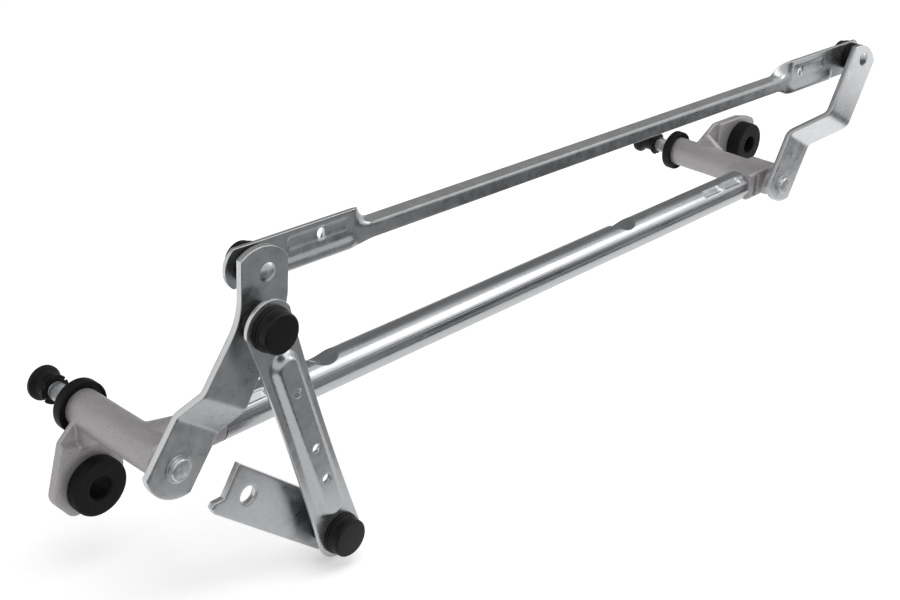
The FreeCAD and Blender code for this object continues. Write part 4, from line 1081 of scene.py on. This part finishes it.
@dataclass
class LongLinkPiece(SheetPiece):
    """The long link: flat paddles with a panel and a lip, and a folded rod between them.

    The blank is the sheet before it is folded, with its X along the link and its second
    coordinate up from the fold.

    Attributes:
        rise: Height of the paddles above their balls.
        falls: Depth of the near and the far paddle below their balls.
        overhang: Reach of a paddle beyond its ball.
        end_arc: Radius of a paddle's end.
        lengths: Length of the near and the far paddle from the balls.
        taper: Length over which a paddle turns into the rod.
        web: Height of the rod below its fold.
        drop: How far the fold lies below the balls.
        flange: Width of the flange that is folded back.
        flange_rise: Degrees by which the flange rises towards the back.
        fold: Radius of the fold.
        panel_rises: Middle of each panel above the balls.
        panel_height: Height of the panels.
        panel_depth: Depth of the panels.
        panel_margins: Where each panel starts from its ball.
        panel_gap: Distance of a panel's end from the paddle's end.
        lip_height: Height of the lip along a paddle's lower edge.
        lip_depth: How far the lip stands forward.
        lip_crest: Where the lip stands out most, above the edge.
        lip_margins: Where each lip starts from its ball.
        hole_places: Place and height of each small hole from its ball.
        hole_radius: Radius of the small holes.
        socket_radius: Radius of the holes for the sockets.
        border_step: Distance between points on the long edges.
    """

    thickness: float = 2.5
    spacing: float = 1.7
    edge: float = 0.45
    rise: float = 10.5
    falls: tuple[float, float] = (11.2, 14.0)
    overhang: float = 15.8
    end_arc: float = 13.5
    lengths: tuple[float, float] = (71.0, 82.5)
    taper: float = 16.0
    web: float = 9.2
    drop: float = 0.6
    flange: float = 8.4
    flange_rise: float = 5.0
    fold: float = 1.1
    panel_rises: tuple[float, float] = (3.4, 1.2)
    panel_height: float = 7.4
    panel_depth: float = 0.9
    panel_margins: tuple[float, float] = (24.7, 37.5)
    panel_gap: float = 3.0
    lip_height: float = 9.0
    lip_depth: float = 1.8
    lip_crest: float = 2.5
    lip_margins: tuple[float, float] = (14.0, 22.0)
    hole_places: tuple[tuple[float, float], ...] = ((48.3, 3.0), (68.5, 0.4))
    hole_radius: float = 2.7
    socket_radius: float = 9.45
    border_step: float = 1.8

    def span(self) -> float:
        """Distance between the two balls."""
        return float((joint_place("right_spindle_turn") - joint_place("left_spindle_turn"))[0])

    def folded(self, along: Points) -> Points:
        """How far the sheet is folded at a place, from 0 on a paddle to 1 on the rod."""
        near = (along - self.lengths[0]) / self.taper
        far = (self.span() - self.lengths[1] - along) / self.taper
        return smooth_step(np.minimum(near, far))

    def lower_edge(self, along: Points) -> Points:
        """The lower edge below the balls."""
        fall = np.where(along < self.span() / 2, *self.falls)
        share = self.folded(along)
        return -fall * (1.0 - share) - (self.web + self.drop) * share

    def bend(self, share: Points) -> Points:
        """The angle of the fold where the sheet is folded by a share."""
        return share * math.radians(90.0 - self.flange_rise)

    def upper_edge(self, along: Points) -> Points:
        """The upper edge of the unfolded sheet."""
        share = self.folded(along)
        bend = self.bend(share)
        tangent = self.fold * np.tan(bend / 2)
        height = self.rise * (1.0 - share) + self.flange * share
        return -self.drop * share + height - 2.0 * tangent + self.fold * bend

    def loops(self) -> list[Points]:
        """The unfolded outline, with an arc at each end, and the holes."""
        outline = []
        for fall, ball, away in ((self.falls[1], self.span(), 1.0), (self.falls[0], 0.0, -1.0)):
            half = (self.rise + fall) / 2
            reach = math.asin(half / self.end_arc)
            turns = np.linspace(-reach, reach, 22)
            centre = ball + (self.overhang - self.end_arc) * away
            outline.append(np.stack((centre + self.end_arc * np.cos(turns) * away,
                                     (self.rise - fall) / 2 + self.end_arc * np.sin(turns) * away), axis=1))
        far_end, near_end = outline
        along = np.arange(near_end[-1][0] + self.border_step, far_end[0][0] - 1.0, self.border_step)
        lower = np.stack((along, self.lower_edge(along)), axis=1)
        back = along[::-1]
        upper = np.stack((back, self.upper_edge(back)), axis=1)
        loops = [np.concatenate((lower, far_end, upper, near_end))]
        holes = [((0.0, 0.0), self.socket_radius), ((self.span(), 0.0), self.socket_radius)]
        near, far = self.hole_places
        holes += [(near, self.hole_radius), ((self.span() - far[0], far[1]), self.hole_radius)]
        for centre, radius in holes:
            turns = np.linspace(0.0, -2.0 * math.pi, 32, endpoint=False)
            loops.append(np.array(centre) + radius * np.stack((np.cos(turns), np.sin(turns)), axis=1))
        return loops

    def relief(self, along: Points, up: Points) -> Points:
        """How far the front stands forward through its panels and lips."""
        out = np.zeros(len(along))
        for side in (0, 1):
            place = along if side == 0 else self.span() - along
            end = self.lengths[side]
            start = self.panel_margins[side]
            middle = (start + end - self.panel_gap) / 2
            half = (end - self.panel_gap - start) / 2
            depth = np.maximum(np.abs(place - middle) - half,
                               np.abs(up - self.panel_rises[side]) - self.panel_height / 2)
            out -= self.panel_depth * smooth_step(-depth / 1.6 + 0.3)
            height = up + self.falls[side]
            ramp = np.where(height < self.lip_crest, 0.6 + 0.4 * height / self.lip_crest,
                            1.0 - (height - self.lip_crest) / (self.lip_height - self.lip_crest))
            fade_in = smooth_step((place - self.lip_margins[side]) / 5.0)
            fade_out = smooth_step((end + 4.0 - place) / 8.0)
            out += self.lip_depth * smooth_step(ramp) * fade_in * fade_out
        return out

    def press(self, blank: Points) -> Points:
        """Folds the flange back and presses the panels and lips."""
        along, up = blank[:, 0], blank[:, 1]
        share = self.folded(along)
        bend = self.bend(share)
        fold = -self.drop * share
        start = fold - self.fold * np.tan(bend / 2)
        arc = np.clip(up - start, 0.0, self.fold * bend)
        turned = arc / self.fold
        beyond = np.maximum(up - start - self.fold * bend, 0.0)
        height = np.minimum(up, start) + self.fold * np.sin(turned) + beyond * np.cos(bend)
        back = self.fold * (1.0 - np.cos(turned)) + beyond * np.sin(bend)
        ball = joint_place("long_link_turn")
        front = node_box(self.node)[0][1] + self.lip_depth
        return np.stack((ball[0] + along, front + back - self.relief(along, up), ball[2] + height), axis=1)


@dataclass
class CastPiece(Piece):
    """A casting: the node's own form with soft fillets and edges.

    Attributes:
        voxel: Size of the grid that the form is rebuilt on.
        passes: How often it is smoothed.
        kept: Share of the faces that stay.
    """

    look: Look = Look.CASTING
    voxel: float = 0.62
    passes: int = 9
    kept: float = 0.3

    def build(self) -> bpy.types.Object:
        """Makes the piece."""
        source = bpy.data.objects.new(f"{self.node}_form", frame["nodes"][self.node].data.copy())
        bpy.context.scene.collection.objects.link(source)
        grid = source.modifiers.new("grid", "REMESH")
        grid.mode = "VOXEL"
        grid.voxel_size = self.voxel * MM
        soft = source.modifiers.new("soft", "SMOOTH")
        soft.factor = 0.5
        soft.iterations = self.passes
        fewer = source.modifiers.new("fewer", "DECIMATE")
        fewer.ratio = self.kept
        graph = bpy.context.evaluated_depsgraph_get()
        mesh = bpy.data.meshes.new_from_object(source.evaluated_get(graph))
        mesh.name = f"{self.node}_look"
        bpy.data.objects.remove(source)
        return self.dress(mesh, 60.0)


@dataclass
class CrossTubePiece(Piece):
    """The cross tube with its rolled groove, two dents and the crimps at its ends.

    Attributes:
        radius: Outer radius.
        wall: Thickness of the wall.
        offset: How far its axis lies behind the spindles' stations.
        reach: Distance of its left end from the left spindle's axis.
        far_reach: Distance of its right end from the right spindle's axis.
        groove_half: Half the width of the groove.
        groove_depth: Depth of the groove.
        groove_lift: Degrees by which the groove lies above the front.
        dent_radius: Radius of the dents' die.
        dent_depth: Depth of the dents.
        dent_lean: Degrees by which the dents lean from the top to the back.
        dent_places: Place of the first dent from the left end and of the second from the right end.
        crimp_length: Length of a crimp.
        crimp_half: Half its width.
        crimp_depth: Its depth.
        crimp_starts: Where the crimps start from the tube's end.
        crimp_turns: Degrees from the front to each row of crimps, upwards.
        facets: Facets round the tube.
        close_rings: Distance between rings at the dents, at the ends and elsewhere.
        dent_zone: How far from a dent's middle the rings are close.
        end_zone: How far from the ends they are.
    """

    look: Look = Look.TUBE
    radius: float = 11.2
    wall: float = 1.8
    offset: float = 23.0
    reach: float = 42.0
    far_reach: float = 30.0
    groove_half: float = 1.9
    groove_depth: float = 2.4
    groove_lift: float = 13.0
    dent_radius: float = 15.0
    dent_depth: float = 4.2
    dent_lean: float = 12.0
    dent_places: tuple[float, float] = (79.0, 150.0)
    crimp_length: float = 20.0
    crimp_half: float = 2.5
    crimp_depth: float = 1.1
    crimp_starts: tuple[float, float] = (10.0, 36.0)
    crimp_turns: tuple[float, float] = (55.0, -80.0)
    facets: int = 132
    close_rings: tuple[float, float, float] = (0.9, 1.0, 7.0)
    dent_zone: float = 22.0
    end_zone: float = 62.0

    def stations(self, length: float) -> Points:
        """Where the rings lie along the tube: close at the dents and crimps, wide elsewhere."""
        near, far = self.dent_places[0], length - self.dent_places[1]
        at_dents, at_ends, elsewhere = self.close_rings
        places = [0.0]
        while places[-1] < length:
            here = places[-1]
            ends = min(here, length - here)
            dent = min(abs(here - near), abs(here - far))
            places.append(here + (at_dents if dent < self.dent_zone else
                                  at_ends if ends < self.end_zone else elsewhere))
        places[-1] = length
        return np.array(places)

    def pressed(self, along: Points, length: float, shrink: float) -> Points:
        """Cross-sections of the tube, smaller all round by shrink.

        Args:
            along: Places along the tube.
            length: Its length.
            shrink: How much smaller than the outer surface.

        Returns:
            Y and Z from the axis for each place and facet.
        """
        turns = np.arange(self.facets) * 2.0 * math.pi / self.facets
        ring = np.stack((-np.cos(turns), np.sin(turns)), axis=1) * self.radius
        out = np.repeat(ring[None], len(along), axis=0)

        def push(turn: float, floor: Points, share: Points) -> None:
            """Presses what stands out beyond a floor, by a share."""
            way = np.array((-math.cos(turn), math.sin(turn)))
            beyond = np.maximum(out @ way - floor, 0.0) * share
            out[:] = out - beyond[..., None] * way

        def beside(turn: float) -> Points:
            """Distance across from the line at a turn, on the side where it lies."""
            way = np.array((-math.cos(turn), math.sin(turn)))
            side = np.array((way[1], -way[0]))
            return np.where(out @ way > 0.0, np.abs(out @ side), self.radius)

        groove = math.radians(self.groove_lift)
        share = smooth_step((self.groove_half + 0.55 - beside(groove)) / 1.0)
        push(groove, self.radius - self.groove_depth, share)
        lean = math.radians(90.0 + self.dent_lean)
        for place in (self.dent_places[0], length - self.dent_places[1]):
            gap = np.minimum(np.abs(along - place), self.dent_radius)
            lift = self.radius - self.dent_depth + self.dent_radius
            floor = lift - np.sqrt(self.dent_radius**2 - gap**2)
            push(lean, floor[:, None], np.ones(1))
        for first in self.crimp_starts:
            for start in (first, length - first - self.crimp_length):
                middle = start + self.crimp_length / 2
                inner = smooth_step((self.crimp_length / 2 + 0.5 - np.abs(along - middle)) / 1.3)
                for degrees in self.crimp_turns:
                    turn = math.radians(degrees)
                    share = smooth_step((self.crimp_half + 0.5 - beside(turn)) / 1.0)
                    push(turn, self.radius - self.crimp_depth, share * inner[:, None])
        size = np.linalg.norm(out, axis=2, keepdims=True)
        return out * (size - shrink) / size

    def build(self) -> bpy.types.Object:
        """Makes the tube, outside and inside."""
        left, right = joint_place("left_spindle_turn"), joint_place("right_spindle_turn")
        run = right - left
        whole = float(np.linalg.norm(run))
        way = run / whole
        side = np.array((-way[1], way[0], 0.0))
        length = whole - self.reach - self.far_reach
        start = left + (0.0, self.offset, 0.0) + way * self.reach
        along = self.stations(length)
        walls = []
        for shrink in (0.0, self.wall):
            section = self.pressed(along, length, shrink)
            rows = start + along[:, None, None] * way + section[..., :1] * side
            walls.append(rows + section[..., 1:] * (0.0, 0.0, 1.0))
        rows = np.concatenate((walls[0], walls[1][::-1]))
        return self.show(rows.reshape(-1, 3), ring_faces(len(rows), self.facets, True), 45.0)


@dataclass
class ModelPiece(Piece):
    """A node whose own form is shown with a finish."""

    def build(self) -> bpy.types.Object:
        """Gives the node its finish."""
        item = frame["nodes"][self.node]
        item.data.materials.clear()
        item.data.materials.append(self.look.material)
        return item


# The linkage

@dataclass
class SpindleUnit:
    """One spindle with its housing, bearings, seal, cap and grommet.

    Attributes:
        side: The side that it is on.
        bare_splines: How much later the cap starts than its solid, to show the splines.
    """

    side: str
    bare_splines: float = 0.0

    def pieces(self) -> list[Piece]:
        """Its pieces in order."""
        side = self.side
        more = self.bare_splines
        return [
            CastPiece(f"{side}_housing"),
            GrommetPiece(f"{side}_grommet", Look.GROMMET),
            TurnedPiece(f"{side}_seal_collar", Look.SEAL, corner=0.5, steps=96),
            TurnedPiece(f"{side}_front_bush", Look.BUSH),
            TurnedPiece(f"{side}_rear_bush", Look.BUSH),
            SpindlePiece(f"{side}_spindle", Look.SPINDLE, knurl_more=more),
            TurnedPiece(f"{side}_thrust_washer", Look.WASHER, corner=0.2),
            TurnedPiece(f"{side}_end_washer", Look.WASHER, corner=0.2),
            ModelPiece(f"{side}_circlip", Look.CIRCLIP),
            CapPiece(f"{side}_spindle_cap", Look.CAP, set_back=more, set_out=0.4 * more),
        ]


@dataclass
class CrankUnit:
    """The two cranks with their ball studs."""

    def pieces(self) -> list[Piece]:
        """Its pieces in order."""
        station, ball = joint_place("left_spindle_turn"), joint_place("long_link_turn")
        lean = math.degrees(math.atan2(ball[0] - station[0], ball[2] - station[2]))
        return [
            CrankPiece("left_crank", Look.LEFT_CRANK),
            # The far crank takes the zinc painted lighter, as painted light.
            CrankPiece("right_crank", Look.RIGHT_CRANK, station="right_spindle_turn", lean=lean,
                       low=37.0, high=59.0, valley=6.0),
            TurnedPiece("left_link_ball_stud", Look.RIVET),
            TurnedPiece("right_link_ball_stud", Look.RIVET),
            TurnedPiece("drive_ball_stud", Look.RIVET),
        ]


@dataclass
class LinkUnit:
    """The long link and the drive link with their sockets."""

    def pieces(self) -> list[Piece]:
        """Its pieces in order."""
        pieces = [LongLinkPiece("long_link", Look.LINK), DriveLinkPiece("drive_link", Look.LINK)]
        for socket in ("left_link_socket", "right_link_socket", "upper_drive_socket", "lower_drive_socket"):
            pieces.append(TurnedPiece(socket, Look.SOCKET))
            pieces.append(TurnedPiece(f"{socket}_cap", Look.CAP, corner=0.9, steps=96))
        return pieces


@dataclass
class MotorUnit:
    """The motor crank with its ball stud."""

    def pieces(self) -> list[Piece]:
        """Its pieces in order."""
        return [SheetPiece("motor_crank", Look.LEFT_CRANK, edge=0.7),
                TurnedPiece("motor_ball_stud", Look.RIVET)]


# The studio

def seen_rays(tree: bpy.types.NodeTree) -> bpy.types.NodeSocket:
    """One where a surface is seen, mirrored or looked at through glass, and otherwise 0."""
    path = tree.nodes.new("ShaderNodeLightPath")
    seen = path.outputs["Is Camera Ray"]
    for kind in ("Is Glossy Ray", "Is Transmission Ray"):
        either = tree.nodes.new("ShaderNodeMath")
        either.operation = "MAXIMUM"
        tree.links.new(seen, either.inputs[0])
        tree.links.new(path.outputs[kind], either.inputs[1])
        seen = either.outputs[0]
    return seen


@dataclass
class PhotoCamera:
    """The camera that took the photograph, in the part's frame.

    Attributes:
        place: Where it stands.
        heading: Degrees from +Y towards +X of the way it looks.
        dip: Degrees that it looks down.
        roll: Degrees that it is turned about its own axis.
        lens: Focal length for a 36 mm wide sensor.
    """

    place: tuple[float, float, float] = (-386.6, -579.7, 447.9)
    heading: float = 48.65
    dip: float = 25.70
    roll: float = 3.51
    lens: float = 60.0

    def build(self) -> bpy.types.Object:
        """Makes the camera and gives it to the scene.

        Returns:
            The camera object.
        """
        data = bpy.data.cameras.new("photo_camera")
        data.lens = self.lens
        data.sensor_width = 36.0
        data.clip_start = 0.01
        data.clip_end = 50.0
        camera = bpy.data.objects.new("photo_camera", data)
        bpy.context.scene.collection.objects.link(camera)
        turn = (Matrix.Rotation(-math.radians(self.heading), 4, "Z")
                @ Matrix.Rotation(math.radians(90.0 - self.dip), 4, "X")
                @ Matrix.Rotation(math.radians(self.roll), 4, "Z"))
        camera.matrix_world = Matrix.Translation(Vector(self.place) * MM) @ turn
        bpy.context.scene.camera = camera
        return camera


@dataclass(frozen=True)
class Lamp:
    """A soft box.

    Attributes:
        name: Its name.
        place: Where it hangs.
        aim: The point that it faces.
        size: Its width and height.
        watts: Its power.
    """

    name: str
    place: tuple[float, float, float]
    aim: tuple[float, float, float]
    size: tuple[float, float]
    watts: float

    def build(self) -> None:
        """Makes the lamp."""
        data = bpy.data.lights.new(self.name, "AREA")
        data.shape = "RECTANGLE"
        data.size, data.size_y = (length * MM for length in self.size)
        data.energy = self.watts
        lamp = bpy.data.objects.new(self.name, data)
        bpy.context.scene.collection.objects.link(lamp)
        way = Vector(self.aim) - Vector(self.place)
        lamp.rotation_euler = way.to_track_quat("-Z", "Y").to_euler()
        lamp.location = Vector(self.place) * MM


@dataclass(frozen=True)
class Flag:
    """A dark card that only reflections show, as photographers set beside shiny metal.

    Attributes:
        name: Its name.
        low: One end of its side nearest to the linkage.
        high: The opposite corner.
        grey: Its brightness.
    """

    name: str
    low: tuple[float, float, float]
    high: tuple[float, float, float]
    grey: float

    def build(self) -> None:
        """Makes the card and hides it from the camera and from soft light."""
        mesh = bpy.data.meshes.new(self.name)
        (x1, y1, z1), (x2, y2, z2) = self.low, self.high
        corners = [(x1, y1, z1), (x2, y1, z1), (x2, y2, z2), (x1, y2, z2)]
        mesh.from_pydata([Vector(corner) * MM for corner in corners], [], [(0, 1, 2, 3)])
        material = bpy.data.materials.new(self.name)
        material.use_nodes = True
        nodes = material.node_tree.nodes
        nodes.clear()
        glow = nodes.new("ShaderNodeEmission")
        glow.inputs["Color"].default_value = rgb(self.grey)
        out = nodes.new("ShaderNodeOutputMaterial")
        material.node_tree.links.new(glow.outputs[0], out.inputs["Surface"])
        mesh.materials.append(material)
        card = bpy.data.objects.new(self.name, mesh)
        bpy.context.scene.collection.objects.link(card)
        card.visible_camera = False
        card.visible_diffuse = False
        card.visible_shadow = False
        card.visible_transmission = False
        card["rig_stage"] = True


@dataclass
class Studio:
    """The pale floor, the white world and the lamps.

    Attributes:
        floor_size: Length of the floor's sides.
        floor_drop: How far the floor lies below the linkage.
        floor_grey: Brightness of the floor.
        world_light: Strength of the light that falls from all round.
        floor_glow: Strength that the floor is lifted by where it is seen or mirrored.
        lamps: The soft boxes.
        flags: The dark cards.
    """

    floor_size: float = 9000.0
    floor_drop: float = 2.0
    floor_grey: float = 0.94
    world_light: float = 0.58
    floor_glow: float = 0.34
    lamps: tuple[Lamp, ...] = (
        Lamp("top_softbox", (250.0, -300.0, 1300.0), (300.0, -40.0, 0.0), (1500.0, 900.0), 5.5),
        Lamp("right_softbox", (1400.0, -700.0, 1000.0), (300.0, 0.0, 60.0), (700.0, 700.0), 4.5),
    )
    flags: tuple[Flag, ...] = (
        Flag("left_flag", (-500.0, -150.0, -40.0), (60.0, -1100.0, 200.0), 0.08),
        Flag("near_flag", (60.0, -150.0, -40.0), (400.0, -1100.0, 200.0), 0.36),
        Flag("front_flag", (400.0, -150.0, -40.0), (980.0, -1100.0, 200.0), 0.10),
        Flag("back_flag", (-400.0, 1000.0, -30.0), (3200.0, 150.0, 1500.0), 0.24),
    )

    def build(self) -> None:
        """Makes the floor, the world's light, the lamps and the flags."""
        self.floor()
        self.world()
        for item in (*self.lamps, *self.flags):
            item.build()

    def floor(self) -> None:
        """Makes the floor."""
        low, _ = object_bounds()
        mesh = bpy.data.meshes.new("floor")
        half = self.floor_size / 2 * MM
        level = low[2] - self.floor_drop * MM
        corners = [(-half, -half, level), (half, -half, level), (half, half, level), (-half, half, level)]
        mesh.from_pydata(corners, [], [(0, 1, 2, 3)])
        shade = Shade("floor_paper")
        tone = shade.mix(shade.noise(40.0), rgb(self.floor_grey - 0.01), rgb(self.floor_grey + 0.01))
        shade.feed(shade.shader.inputs["Emission Color"], rgb(1.0))
        seen = seen_rays(shade.tree)
        shade.feed(shade.shader.inputs["Emission Strength"], shade.maths("MULTIPLY", seen, self.floor_glow))
        mesh.materials.append(shade.finish(tone, 0.9, 0.0, 0.1))
        floor = bpy.data.objects.new("floor", mesh)
        bpy.context.scene.collection.objects.link(floor)
        floor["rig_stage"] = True

    def world(self) -> None:
        """Makes the world: white where it is seen or mirrored, a little darker as a light."""
        world = bpy.data.worlds.new("studio_world")
        world.use_nodes = True
        bpy.context.scene.world = world
        tree = world.node_tree
        seen = seen_rays(tree)
        strength = tree.nodes.new("ShaderNodeMapRange")
        strength.inputs["To Min"].default_value = self.world_light
        strength.inputs["To Max"].default_value = 1.0
        tree.links.new(seen, strength.inputs["Value"])
        back = tree.nodes["Background"]
        back.inputs["Color"].default_value = rgb(1.0)
        tree.links.new(strength.outputs["Result"], back.inputs["Strength"])


def main() -> None:
    """Builds everything in order and reports each piece."""
    logging.basicConfig(level=logging.INFO, format="%(name)s: %(message)s")
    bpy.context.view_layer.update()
    units = [SpindleUnit("left", 10.0), SpindleUnit("right"), CrankUnit(), LinkUnit(), MotorUnit()]
    CrossTubePiece("cross_tube").build()
    for unit in units:
        LOG.info("unit: %s", type(unit).__name__)
        for piece in unit.pieces():
            piece.build()
    PhotoCamera().build()
    Studio().build()
    bpy.context.scene.view_settings.view_transform = "Standard"


if __name__ == "__main__":
    main()
